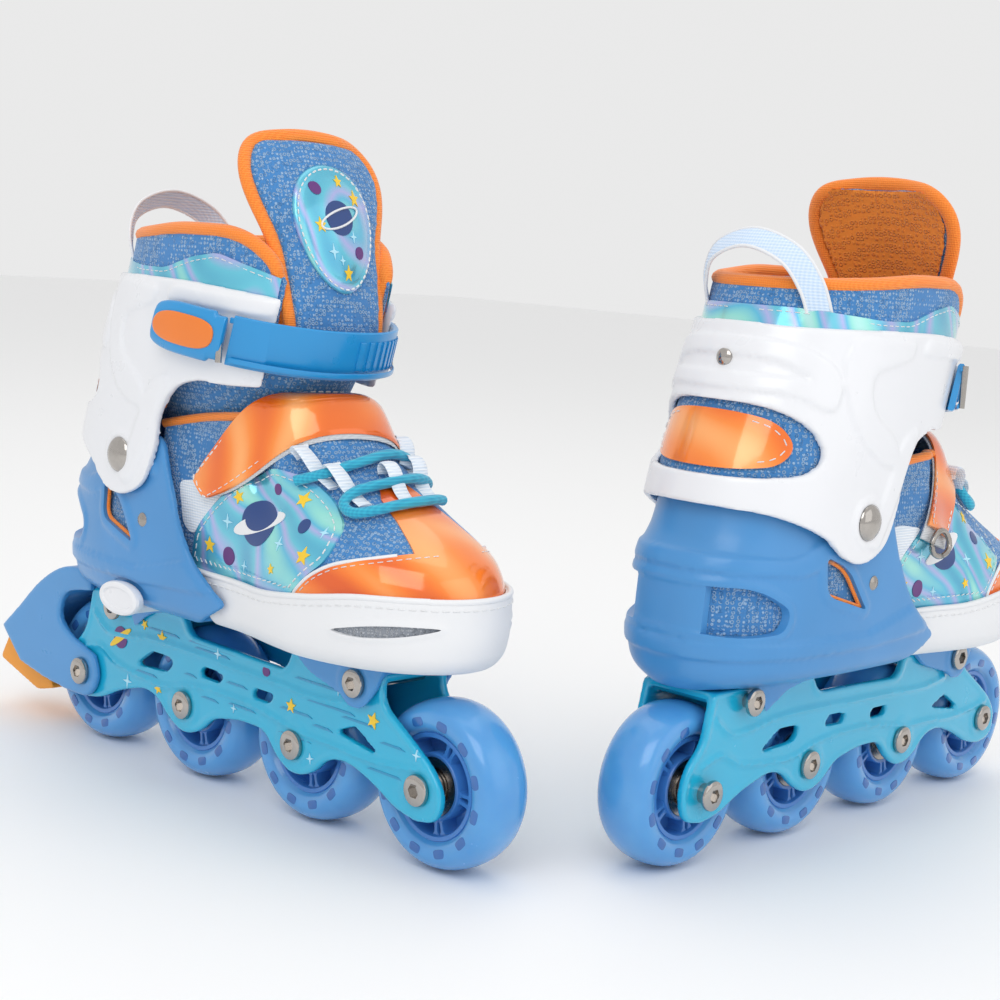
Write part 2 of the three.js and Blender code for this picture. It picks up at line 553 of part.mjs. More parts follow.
const STRAP_MIDDLE = 118.8;
const STRAP_PIN_X = 14; // where the strap's inner end is pinned
const LEVER_PIN_X = 4; // the lever's hinge pin
const BASE_THICKNESS = 1.6;
const STRAP_Z = (x) => UP(STRAP_MIDDLE) - 0.13 * x; // the strap drops a little to the front
const even = (height) => () => height;

// The base plate that the lever closes onto, and the block that holds the strap's pin.
function leverEars() {
  return ankleBand(angleAt(LEVER_PIN_X - 24, -1), angleAt(LEVER_PIN_X + 2, -1), 4, -1.5,
    1.5 + BASE_THICKNESS, even(STRAP_HEIGHT - 5));
}
function strapPin() {
  return ankleBand(angleAt(STRAP_PIN_X - 12, 1), angleAt(STRAP_PIN_X - 2, 1), 3, -1.5,
    1.5 + STRAP_THICKNESS, even(STRAP_HEIGHT - 3));
}
function buckleLever() {
  const height = (share) => STRAP_HEIGHT * (0.72 + 0.3 * Math.sin(Math.PI * Math.min(1, share * 1.25)));
  return ankleBand(angleAt(LEVER_PIN_X - LEVER_LENGTH + 4, -1), angleAt(LEVER_PIN_X + 4, -1), 8,
    BASE_THICKNESS + GAP + 0.35, LEVER_THICKNESS, height);
}
function buckleStrap() {
  return ankleBand(angleAt(LEVER_PIN_X + 6, -1), angleAt(STRAP_PIN_X, 1), 20, GAP + 0.5,
    STRAP_THICKNESS, even(STRAP_HEIGHT));
}

function pivotRivet(s) {
  const face = CUFF_HALF_WIDTH + GAP;
  const profile = [
    [0, face + 2.6], [PIVOT_HEAD_RADIUS * 0.6, face + 2.1], [PIVOT_HEAD_RADIUS, face + 0.8],
    [PIVOT_HEAD_RADIUS, face], [AXLE_RADIUS, face], [AXLE_RADIUS, HEEL_HALF_WIDTH - 5],
    [0, HEEL_HALF_WIDTH - 5],
  ].map(([r, y]) => new THREE.Vector2(r, s * y));
  if (s > 0) profile.reverse();
  return toSolid(new THREE.LatheGeometry(profile, 10).translate(PIVOT_X, 0, PIVOT_Z));
}

function collar() {
  const inset = CUFF_WALL + GAP;
  const wall = ankleForm(inset, 74, 163).subtract(ankleForm(inset + COLLAR_WALL, 73, 164));
  const side = polygon([
    [BOOT_BACK - 10, UP(79)], [-80, UP(80)], [-66, UP(85)], [-34, UP(85)], [-28, UP(97)], [10, UP(104)],
    [70, UP(104)], [70, UP(126)], [44, UP(136)], [30, UP(152)], [12, UP(159)], [-20, UP(159)],
    [-50, UP(156)], [BOOT_BACK - 10, UP(154)],
  ]);
  const mouth = block(6, 120, -MOUTH_HALF, MOUTH_HALF, 0, 400);
  return wall.intersect(slab(side, -60, 60)).subtract(mouth).add(pullLoop());
}

// A webbing loop sewn across the back of the collar.
function pullLoop() {
  const path = new THREE.CatmullRomCurve3([
    [-70, -27, 148], [-76, -25, 158], [-81, -15, 167], [-83, 0, 170], [-81, 15, 167], [-76, 25, 158],
    [-70, 27, 148],
  ].map(([x, y, z]) => new THREE.Vector3(x, y, UP(z))));
  const rings = Array.from({ length: 13 }, (_, i) => {
    const centre = path.getPoint(i / 12);
    const out = new THREE.Vector3(0, centre.y / 26, (centre.z - UP(146)) / 24).normalize();
    return [[-1, -1], [1, -1], [1, 1], [-1, 1]].map(([w, t]) =>
      centre.clone().addScaledVector(out, t * 1.1).add(new THREE.Vector3(w * 5.5, 0, 0)));
  });
  return loft(rings);
}

const MOUTH_HALF = 26;
// The padded tongue stands in the collar's mouth: a curved plate, wider and higher than the collar.
function tongue() {
  const rings = [106, 124, 142, 161, 171, 182, 192, 198].map((z, i, all) => {
    const share = i / (all.length - 1);
    const half = [20, 22, 24, 24.5, 31, 34, 27, 14][i];
    const front = [33, 32, 28.5, 23.5, 19.5, 15, 10, 6][i];
    const thick = 8 - 2 * share;
    const points = [];
    const columns = 4;
    for (const [depth, order] of [[0, 1], [thick, -1]])
      for (let k = 0; k <= columns; k++) {
        const across = order > 0 ? -1 + (2 * k) / columns : 1 - (2 * k) / columns;
        const curl = 9 * across * across * (0.35 + 0.65 * share);
        points.push(new THREE.Vector3(front - curl - depth, across * half * (1 - depth * 0.006), UP(z)));
      }
    return points;
  });
  return loft(rings);
}

// ---------------------------------------------------------------- straps and lace on the forefoot
// The place on the upper's skin at a distance along the foot and an angle round it, from the
// lateral side over the top, standing off by the given amount.
const skin = new THREE.Mesh(toGeometry(upperForm(0)));
skin.material.side = THREE.DoubleSide;
function onUpper(x, degrees, standOff) {
  const t = THREE.MathUtils.degToRad(degrees);
  const out = new THREE.Vector3(0, -Math.cos(t), Math.sin(t));
  const heart = new THREE.Vector3(x, 0, UP(38));
  const ray = new THREE.Raycaster(heart.clone().addScaledVector(out, 150), out.clone().negate());
  const hit = ray.intersectObject(skin)[0];
  return hit.point.clone().addScaledVector(out, standOff);
}

// A band on the upper: its middle line as [x, degrees] places, lying over the foot's skin.
const BAND_STAND = GAP + 2.8;
function powerStrap() {
  const route = new THREE.SplineCurve(
    [[-2, 24], [8, 36], [20, 52], [30, 70], [36, 90], [35, 110], [28, 130], [18, 146], [12, 158]].map(
      ([x, t]) => new THREE.Vector2(x, t)),
  );
  const rings = Array.from({ length: 17 }, (_, i) => {
    const share = i / 16;
    const [at, along] = [route.getPoint(share), route.getTangent(share)];
    const width = POWER_STRAP_WIDTH * Math.min(1, 0.5 + 4 * share);
    const places = [-1, 0, 1].map((w) => [at.x + (w * width * 0.5 * along.y) / Math.hypot(along.x, along.y),
      at.y - w * 9 * along.x]);
    const layer = (off) => places.map(([x, t]) => onUpper(x, t, off));
    return [...layer(BAND_STAND), ...layer(BAND_STAND + 2.4).reverse()];
  });
  return loft(rings);
}

// The lace runs in one piece from side to side across the instep.
function lace() {
  const places = [
    [74, 44], [65, 58], [62, 80], [64, 104], [67, 126], [62, 136], [56, 124], [52, 102], [51, 78], [53, 56],
    [52, 44], [46, 42], [41, 56], [39, 84], [40, 108], [43, 128],
  ].map(([back, t]) => onUpper(TOE_TIP - back, t, LACE_RADIUS + GAP + 1));
  const path = new THREE.CatmullRomCurve3(places, false, "centripetal");
  const section = new THREE.Shape(Array.from({ length: 6 }, (_, i) => {
    const t = (i / 6) * 2 * Math.PI;
    return new THREE.Vector2(LACE_RADIUS * Math.cos(t), LACE_RADIUS * Math.sin(t));
  }));
  return toSolid(new THREE.ExtrudeGeometry(section, { steps: 34, extrudePath: path }));
}

// ---------------------------------------------------------------- heel brake
function brakeArm() {
  const [x, z] = [WHEEL_X[0], AXLE_Z];
  const reach = WHEEL_RADIUS + 4;
  const s = new THREE.Shape();
  s.moveTo(x + 4, z + reach + 10);
  s.quadraticCurveTo(x - 36, z + reach + 14, x - 66, z + 8);
  s.lineTo(x - 50, z - 6);
  s.lineTo(x - 4, z - BOSS_RADIUS);
  s.absarc(x, z, BOSS_RADIUS, Math.PI * 1.4, Math.PI * 2.45, false);
  s.lineTo(x - 12, z + 15);
  s.quadraticCurveTo(x - 24, z + 18, x - 20, z + 26);
  s.quadraticCurveTo(x - 12, z + 36, x + 4, z + reach + 0.5);
  const whole = slab(s, -LUG_OUT, LUG_OUT, 8);
  const well = crossRod(x, z, WHEEL_RADIUS + 3, -FRAME_OUT, FRAME_OUT, 20);
  const channel = block(x - 14, x + 40, -FRAME_OUT - GAP, FRAME_OUT + GAP, 0, 200);
  const hole = boreFor(x, z, AXLE_RADIUS, -40, 40);
  return without(whole, [well, channel, hole, heelForm(-GAP, -14)]);
}
function brakePad() {
  const [x, z] = [WHEEL_X[0], AXLE_Z];
  const shape = polygon([
    [x - 66 - 0.2, z + 8 - GAP], [x - 76, z - 10], [x - 44, z - 19], [x - 26, z - 14.4], [x - 50, z - 6 - GAP],
  ]);
  const pad = slab(shape, -BRAKE_PAD_HALF_WIDTH, BRAKE_PAD_HALF_WIDTH);
  return pad.subtract(crossRod(x, z, WHEEL_RADIUS + 3, -30, 30, 20));
}

// ---------------------------------------------------------------- assembly
function skate(side, hasBrake) {
  const group = new THREE.Group();
  const add = (name, solid, colour) => {
    const [hex, roughness, metalness] = COLOURS[colour];
    const material = new THREE.MeshStandardMaterial({ color: hex, roughness, metalness });
    const mesh = new THREE.Mesh(toGeometry(solid), material);
    mesh.name = side + "_" + name;
    group.add(mesh);
  };
  add("frame", frame(), "frameBlue");
  WHEEL_X.forEach((x, i) => {
    const braked = hasBrake && i === 0;
    add("wheel_" + (i + 1), wheel(x), "wheelBlue");
    add("bearings_" + (i + 1), bearings(x), "steel");
    add("axle_" + (i + 1), crossBolt(x, AXLE_Z, AXLE_RADIUS, braked ? LUG_OUT : FRAME_OUT), "steel");
  });
  add("rear_frame_bolt", crossBolt(REAR_BOLT_X, BOLT_Z, BOLT_RADIUS, LUG_OUT), "steel");
  add("front_frame_bolt", crossBolt(FRONT_BOLT_X, BOLT_Z, BOLT_RADIUS, LUG_OUT), "steel");
  add("heel_shell", heelShell(), "shellBlue");
  add("size_button", sizeButton(), "white");
  add("toe_shell", toeShell(), "white");
  add("upper", upper(), "orange");
  add("liner", liner(), "meshBlue");
  add("cuff", cuff(), "white");
  add("collar", collar(), "meshBlue");
  add("tongue", tongue(), "meshBlue");
  add("lateral_pivot_rivet", pivotRivet(-1), "steel");
  add("medial_pivot_rivet", pivotRivet(1), "steel");
  add("buckle_lever", buckleLever(), "buckleBlue");
  add("buckle_strap", buckleStrap(), "buckleBlue");
  add("power_strap", powerStrap(), "orange");
  add("lace", lace(), "laceBlue");
  if (hasBrake) {
    add("brake_arm", brakeArm(), "shellBlue");
    add("brake_pad", brakePad(), "padOrange");
  }
  return group;
}

const pair = new THREE.Group();
const right = skate("right", true);
right.position.set(-PAIR_MIDDLE.x, -PAIR_MIDDLE.y, 0);
const left = skate("left", false);
left.scale.y = -1; // a left foot is the mirror image of a right one
left.rotation.z = Math.PI / 2;
left.position.set(LEFT_SKATE.x - PAIR_MIDDLE.x, LEFT_SKATE.y - PAIR_MIDDLE.y, 0);
pair.add(right, left);

export default pair;
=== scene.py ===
import math
import bpy
import bmesh
import numpy as np
from mathutils import Matrix, Vector
from mathutils.bvhtree import BVHTree


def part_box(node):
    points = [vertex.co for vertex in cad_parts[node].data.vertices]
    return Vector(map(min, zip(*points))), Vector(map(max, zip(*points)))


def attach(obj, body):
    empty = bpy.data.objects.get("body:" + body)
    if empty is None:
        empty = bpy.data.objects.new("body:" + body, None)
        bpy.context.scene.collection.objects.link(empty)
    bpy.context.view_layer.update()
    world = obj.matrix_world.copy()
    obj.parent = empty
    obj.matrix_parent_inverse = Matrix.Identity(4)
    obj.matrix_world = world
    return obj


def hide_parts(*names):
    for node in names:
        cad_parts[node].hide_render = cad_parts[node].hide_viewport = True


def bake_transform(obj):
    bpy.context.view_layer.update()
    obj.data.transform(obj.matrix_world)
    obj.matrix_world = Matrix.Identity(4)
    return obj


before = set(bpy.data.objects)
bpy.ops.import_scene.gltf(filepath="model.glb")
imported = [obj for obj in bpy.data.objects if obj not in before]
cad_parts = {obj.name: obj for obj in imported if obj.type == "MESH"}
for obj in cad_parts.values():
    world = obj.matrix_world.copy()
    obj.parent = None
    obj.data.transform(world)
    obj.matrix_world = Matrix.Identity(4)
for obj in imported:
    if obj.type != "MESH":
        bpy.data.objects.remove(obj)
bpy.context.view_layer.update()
mm = 0.001
sides = ("right", "left")
print("frame loaded:", len(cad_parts), "nodes")


# ---- where each skate stands: x to the toe, y to the medial side, z up, all in millimetres
def middleOf(node):
    low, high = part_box(node)
    return (low + high) / 2


def skateMatrix(side):
    rear, front = middleOf(side + "_wheel_1"), middleOf(side + "_wheel_4")
    ahead = (front - rear).normalized()
    across = Vector((0, 0, 1)).cross(ahead) * (1 if side == "right" else -1)
    origin = (rear + front) / 2
    origin.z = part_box(side + "_wheel_1")[0].z
    turn = Matrix((ahead, across, Vector((0, 0, 1)))).transposed().to_4x4()
    return Matrix.Translation(origin) @ turn @ Matrix.Scale(mm, 4)


places = {side: skateMatrix(side) for side in sides}
wheelX = [(i - 1.5) * 70.5 for i in range(4)]


# ---- mesh helpers
def meshFrom(name, verts, faces):
    mesh = bpy.data.meshes.new(name)
    mesh.from_pydata([tuple(v) for v in verts], [], faces)
    mesh.update()
    return mesh


def tempObject(mesh):
    item = bpy.data.objects.new("temp", mesh)
    bpy.context.scene.collection.objects.link(item)
    return item


def outwards(mesh):
    bm = bmesh.new()
    bm.from_mesh(mesh)
    bmesh.ops.remove_doubles(bm, verts=bm.verts, dist=1e-4)
    bmesh.ops.recalc_face_normals(bm, faces=bm.faces)
    bm.to_mesh(mesh)
    bm.free()
    return mesh


def evaluated(mesh, build):
    item = tempObject(mesh)
    build(item)
    graph = bpy.context.evaluated_depsgraph_get()
    made = bpy.data.meshes.new_from_object(item.evaluated_get(graph))
    bpy.data.objects.remove(item)
    return made


# A skin over rings of points: capped at both ends, or run on from the last ring to the first.
def loft(rings, capped=True, endless=False):
    count, rows = len(rings[0]), len(rings)
    faces = []
    for r in range(rows if endless else rows - 1):
        near, far = r * count, (r + 1) % rows * count
        faces += [(near + i, near + (i + 1) % count, far + (i + 1) % count, far + i) for i in range(count)]
    if capped:
        faces += [tuple(range(count))[::-1], tuple((rows - 1) * count + i for i in range(count))]
    return outwards(meshFrom("skin", [p for ring in rings for p in ring], faces))


def prism(points, y0, y1):
    rings = [[(x, y, z) for x, z in points] for y in (y0, y1)]
    return loft(rings)


def rod(x, z, radius, y0, y1, steps=40):
    turn = [2 * math.pi * i / steps for i in range(steps)]
    return prism([(x + radius * math.cos(t), z + radius * math.sin(t)) for t in turn], y0, y1)


def box(x0, x1, y0, y1, z0, z1):
    return prism([(x0, z0), (x1, z0), (x1, z1), (x0, z1)], y0, y1)


def merged(meshes):
    bm = bmesh.new()
    for mesh in meshes:
        bm.from_mesh(mesh)
    made = bpy.data.meshes.new("merged")
    bm.to_mesh(made)
    bm.free()
    return made


def cutFrom(mesh, cutters, keep=()):
    items = []

    def build(item):
        for operation, group in (("INTERSECT", keep), ("DIFFERENCE", cutters)):
            for other in group:
                items.append(tempObject(other))
                step = item.modifiers.new("cut", "BOOLEAN")
                step.operation, step.object, step.solver = operation, items[-1], "MANIFOLD"

    made = evaluated(mesh, build)
    for item in items:
        bpy.data.objects.remove(item)
    return made


# Fuses what overlaps and rounds every edge, the way a mould does.
def moulded(mesh, voxel=0.9, rounds=6):
    def build(item):
        remesh = item.modifiers.new("fuse", "REMESH")
        remesh.mode, remesh.voxel_size = "VOXEL", voxel
        soften = item.modifiers.new("soften", "SMOOTH")
        soften.factor, soften.iterations = 0.5, rounds

    return evaluated(mesh, build)


def subdivided(mesh, levels=1):
    def build(item):
        step = item.modifiers.new("smooth", "SUBSURF")
        step.levels = step.render_levels = levels

    return evaluated(mesh, build)


# A side-view outline with rounded corners, from (x, z, radius) places.
def filleted(places, steps=6):
    out = []
    for i, (x, z, radius) in enumerate(places):
        here, before, after = (Vector(places[j % len(places)][:2]) for j in (i, i - 1, i + 1))
        a, b = (before - here), (after - here)
        reach = min(radius, a.length * 0.48, b.length * 0.48)
        start, end = here + a.normalized() * reach, here + b.normalized() * reach
        for k in range(steps + 1):
            t = k / steps
            out.append(tuple(start * (1 - t) ** 2 + here * (2 * t * (1 - t)) + end * t * t))
    return out


# Hermite interpolation of a table whose first column rises, without overshoot.
def between(table, z):
    rows = np.array(table, float)
    x, y = rows[:, 0], rows[:, 1:]
    gap = np.diff(x)[:, None]
    slope = np.diff(y, axis=0) / gap
    tangent = np.zeros_like(y)
    same = slope[:-1] * slope[1:] > 0
    tangent[1:-1] = np.where(same, 2 * slope[:-1] * slope[1:] / np.where(same, slope[:-1] + slope[1:], 1), 0)
    tangent[0], tangent[-1] = slope[0], slope[-1]
    z = min(max(z, x[0]), x[-1])
    i = min(int(np.searchsorted(x, z, "right")) - 1, len(x) - 2)
    t = (z - x[i]) / gap[i, 0]
    return (y[i] * (2 * t**3 - 3 * t**2 + 1) + tangent[i] * gap[i] * (t**3 - 2 * t**2 + t)
            + y[i + 1] * (3 * t**2 - 2 * t**3) + tangent[i + 1] * gap[i] * (t**3 - t**2))


def throughPoints(points, count, closed=False):
    p = np.array(points, float)
    n = len(p)
    out = []
    for k in range(count):
        s = k * (n if closed else n - 1) / (count if closed else count - 1)
        i = min(int(s), n - 1 if closed else n - 2)
        t = s - i
        pick = (lambda j: p[j % n]) if closed else (lambda j: p[min(max(j, 0), n - 1)])
        a, b, c, d = pick(i - 1), pick(i), pick(i + 1), pick(i + 2)
        bend, twist = 2 * a - 5 * b + 4 * c - d, 3 * b - a - 3 * c + d
        out.append(0.5 * (2 * b + (c - a) * t + bend * t**2 + twist * t**3))
    return np.array(out)


# ---- the boot's forms, which every shell and soft layer follows
# spans in y that take in a whole side or both
bootWide, toeWide, footWide, lateral = (-60, 60), (-70, 70), (-80, 80), (-60, -6)
forms = {
    "deck": 70.0, "bootBack": -118.0, "heelFront": 70.0, "toeTip": 116.0, "toeBall": 42.0, "toeWaist": 35.8,
    "cuffHalf": 43.4, "pivotX": -51.0, "pivotZ": 136.0, "toeLean": 2.5,
}
deck = forms["deck"]
heelLevels = [
    (-14, 14, 20.2), (-1, 7, 21), (5, 3, 35.6), (9, 1.6, 39.4), (14, 0.6, 40.4), (25, 0, 41), (42, 0.6, 40.2),
    (51, 3, 39.8), (60, 9, 39.6), (80, 15, 39.4),
]
ankleLevels = [
    (44, 3, 14), (60, 4, 20), (80, 8, 27), (100, 15, 33), (120, 23, 38), (141, 30, 43), (165, 36, 47),
]
toeLevels = [(4, 6.2), (6.5, 3.2), (11, 1), (19, 0), (29, 0), (36, 1)]
upperLevels = [
    (9.9, 110, 36.2, 30, 56), (14, 112, 38, 31.8, 56), (21, 112.6, 38.6, 32.4, 56), (33, 111.8, 38, 31.8, 56),
    (41, 108, 36.8, 32.3, 54), (48, 100, 33.5, 32.3, 50), (56, 85, 30, 32.4, 42), (64, 68, 29, 31.8, 34),
    (75, 52, 28, 30.8, 24), (94, 38, 26, 28.8, 18),
]


def oval(z, back, front, half, power, turns):
    c, s = np.cos(turns), np.sin(turns)
    x = (back + front) / 2 + (front - back) / 2 * np.sign(c) * np.abs(c) ** (2 / power)
    y = half * np.sign(s) * np.abs(s) ** (2 / power)
    return np.stack([x, y, np.full_like(x, z)], 1)


def evenTurns(count):
    return np.arange(count) / count * 2 * np.pi


def heelRing(z, inset, turns):
    back, half = between(heelLevels, z - deck)
    return oval(z, forms["bootBack"] + back + inset, forms["heelFront"], half - inset, 2.6, turns)


def ankleRing(z, inset, turns):
    back, front = between(ankleLevels, z - deck)
    return oval(z, forms["bootBack"] + back + inset, front - inset, forms["cuffHalf"] - inset, 2.3, turns)


def footRing(z, tip, ball, waist, ballX, count=120):
    lean = forms["toeLean"]

    def flank(s):
        ahead = tip - ballX
        return [(-60, s * waist), (-15, s * waist), (14, s * waist), (ballX - 14, s * (ball - 1.4)),
                (ballX + 4, s * ball), (ballX + 0.45 * ahead, s * (ball - 3.4) + 0.4 * lean),
                (ballX + 0.75 * ahead, s * 0.68 * ball + 0.7 * lean),
                (ballX + 0.94 * ahead, s * 0.36 * ball + lean)]

    ring = throughPoints(flank(-1) + [(tip, lean)] + flank(1)[::-1], count, closed=True)
    return np.column_stack([ring, np.full(count, z)])


def stack(low, high, step):
    return np.linspace(low, high, max(2, int((high - low) / step) + 1))


def heelForm(inset, low, high, count=96):
    return loft([heelRing(z, inset, evenTurns(count)) for z in stack(low, high, 1.6)])


def ankleForm(inset, low, high, count=96):
    return loft([ankleRing(z, inset, evenTurns(count)) for z in stack(low, high, 2.5)])


def toeForm(inset, low, high):
    rings = []
    for z in stack(low, high, 1.5):
        tight = between(toeLevels, z - deck)[0] + inset
        rings.append(footRing(z, forms["toeTip"] - tight, forms["toeBall"] - tight, forms["toeWaist"] - tight,
                              56))
    return loft(rings)


def upperRing(z, inset, count=120):
    tip, ball, waist, ballX = between(upperLevels, z - deck)
    return footRing(z, tip - inset, ball - inset, waist - inset, ballX, count)


def upperForm(inset, low, high):
    return loft([upperRing(z, inset) for z in stack(low, high, 1.6)])


# ---- shader helpers: a signal is a socket that Python's operators work on
class Signal:
    def __init__(self, paint, socket):
        self.paint, self.socket = paint, socket

    def joined(self, operation, *values):
        return self.paint.node("ShaderNodeMath", {"operation": operation}, list(values))

    def __add__(self, other):
        return self.joined("ADD", self, other)

    def __sub__(self, other):
        return self.joined("SUBTRACT", self, other)

    def __mul__(self, other):
        return self.joined("MULTIPLY", self, other)

    def __rsub__(self, other):
        return self.joined("SUBTRACT", other, self)

    __radd__, __rmul__ = __add__, __mul__

    def __gt__(self, other):
        return self.joined("GREATER_THAN", self, other)


class Paint:
    def __init__(self, name):
        self.material = bpy.data.materials.new(name)
        self.material.use_nodes = True
        self.tree = self.material.node_tree
        self.surface = self.tree.nodes["Principled BSDF"]

    def node(self, kind, settings=None, inputs=None, output=0):
        made = self.tree.nodes.new(kind)
        for key, value in (settings or {}).items():
            if key == "stops":
                ramp = made.color_ramp
                while len(ramp.elements) < len(value):
                    ramp.elements.new(0.5)
                for element, (at, colour) in zip(ramp.elements, value):
                    element.position, element.color = at, (*colour, 1)
            else:
                setattr(made, key, value)
        named = inputs.items() if isinstance(inputs, dict) else enumerate(inputs or [])
        for key, value in named:
            self.feed(made.inputs[key], value)
        return Signal(self, made.outputs[output])

    def feed(self, socket, value):
        if isinstance(value, Signal):
            self.tree.links.new(value.socket, socket)
        elif isinstance(value, tuple) and len(value) == 3 and socket.type == "RGBA":
            socket.default_value = (*value, 1)
        else:
            socket.default_value = value

    def place(self):
        return self.node("ShaderNodeTexCoord", output="Object")

    def noise(self, scale, detail=3.0, at=None):
        return self.node("ShaderNodeTexNoise", {}, {"Vector": at or self.place(), "Scale": scale,
                                                    "Detail": detail})

    def mix(self, mask, a, b):
        made = self.tree.nodes.new("ShaderNodeMix")
        made.data_type = "RGBA"
        for socket, value in ((made.inputs[0], mask), (made.inputs[6], a), (made.inputs[7], b)):
            self.feed(socket, value)
        return Signal(self, made.outputs[2])

    def ramp(self, value, stops):
        return self.node("ShaderNodeValToRGB", {"stops": stops}, [value])

    def bump(self, height, strength=0.3, distance=0.0004):
        return self.node("ShaderNodeBump", {}, {"Height": height, "Strength": strength, "Distance": distance})

    def finish(self, **values):
        for key, value in values.items():
            self.feed(self.surface.inputs[key.replace("_", " ")], value)
        return self.material


def plastic(name, colour, roughness, grain=0.06, coat=0.0, shade=0.85):
    paint = Paint(name)
    cloud = paint.noise(28.0, 2.0)
    fine = paint.noise(2600.0, 2.0)
    base = paint.mix(cloud, tuple(c * shade for c in colour), colour)
    rough = roughness + (paint.noise(90.0, 4.0) - 0.5) * 0.16
    return paint.finish(Base_Color=base, Roughness=rough, Coat_Weight=coat, Coat_Roughness=0.12,
                        Normal=paint.bump(fine, grain, 0.0002))


def metal(name, colour, roughness):
    paint = Paint(name)
    worn = paint.noise(700.0, 5.0)
    return paint.finish(Base_Color=paint.mix(worn, tuple(c * 0.8 for c in colour), colour), Metallic=1.0,
                        Roughness=roughness + (worn - 0.5) * 0.2, Normal=paint.bump(worn, 0.05, 0.0001))


# A knit: rows of small rings with a pale thread on some of them.
def knit(name, ground, thread, pitch=0.0021, bright=0.5):
    paint = Paint(name)
    at = paint.place()
    cells = paint.node("ShaderNodeTexVoronoi", {"feature": "F1"}, {"Vector": at, "Scale": 1 / pitch,
                                                                   "Randomness": 0.35})
    ring = 1 - (paint.node("ShaderNodeMath", {"operation": "ABSOLUTE"}, [cells - 0.34]) * 5.5)
    mask = paint.node("ShaderNodeMath", {"operation": "MAXIMUM"}, [ring, 0.0])
    pick = paint.noise(520.0, 1.0, at) > 0.42
    base = paint.mix(paint.noise(60.0, 3.0, at), tuple(c * 0.7 for c in ground), ground)
    return paint.finish(Base_Color=paint.mix(mask * pick * bright, base, thread), Roughness=0.82,
                        Sheen_Weight=0.25, Normal=paint.bump(mask, 0.75, 0.0005))


# Coated sheet in its own colour with a painted iridescent sheen: noise and diagonal bands run through the
# ramp to paint the shifting pearly colour into the base colour.
def pearlyPaintedSheen(name, stops, roughness=0.16, scale=26.0, metallic=0.35):
    paint = Paint(name)
    at = paint.place()
    warp = paint.noise(scale, 1.5, at)
    wave = paint.node("ShaderNodeTexWave", {"wave_type": "BANDS", "bands_direction": "DIAGONAL"},
                      {"Vector": at, "Scale": scale * 0.6, "Distortion": 9.0, "Detail": 1.0,
                       "Detail Scale": 1.2})
    return paint.finish(Base_Color=paint.ramp(warp * 0.55 + wave * 0.45, stops), Roughness=roughness,
                        Metallic=metallic, Coat_Weight=0.8, Coat_Roughness=0.06,
                        Normal=paint.bump(paint.noise(150.0, 2.0, at), 0.12, 0.0006))


def woven(name, ground, stripe, pitch=0.0016):
    paint = Paint(name)
    at = paint.place()
    def bands(direction):
        return paint.node("ShaderNodeTexWave", {"wave_type": "BANDS", "bands_direction": direction},
                          {"Vector": at, "Scale": 0.32 / pitch, "Distortion": 0.4})
    weave = bands("X") * 0.4 + bands("Z") * 0.6
    return paint.finish(Base_Color=paint.mix(weave, ground, stripe), Roughness=0.75, Sheen_Weight=0.3,
                        Normal=paint.bump(weave, 0.6, 0.0004))


def urethane(name, colour, deep):
    paint = Paint(name)
    return paint.finish(Base_Color=paint.mix(paint.noise(70.0, 2.0), deep, colour),
                        Roughness=0.2 + paint.noise(160.0, 3.0) * 0.1, Subsurface_Weight=0.25,
                        Subsurface_Radius=(0.002, 0.004, 0.006), Coat_Weight=0.55, Coat_Roughness=0.1)


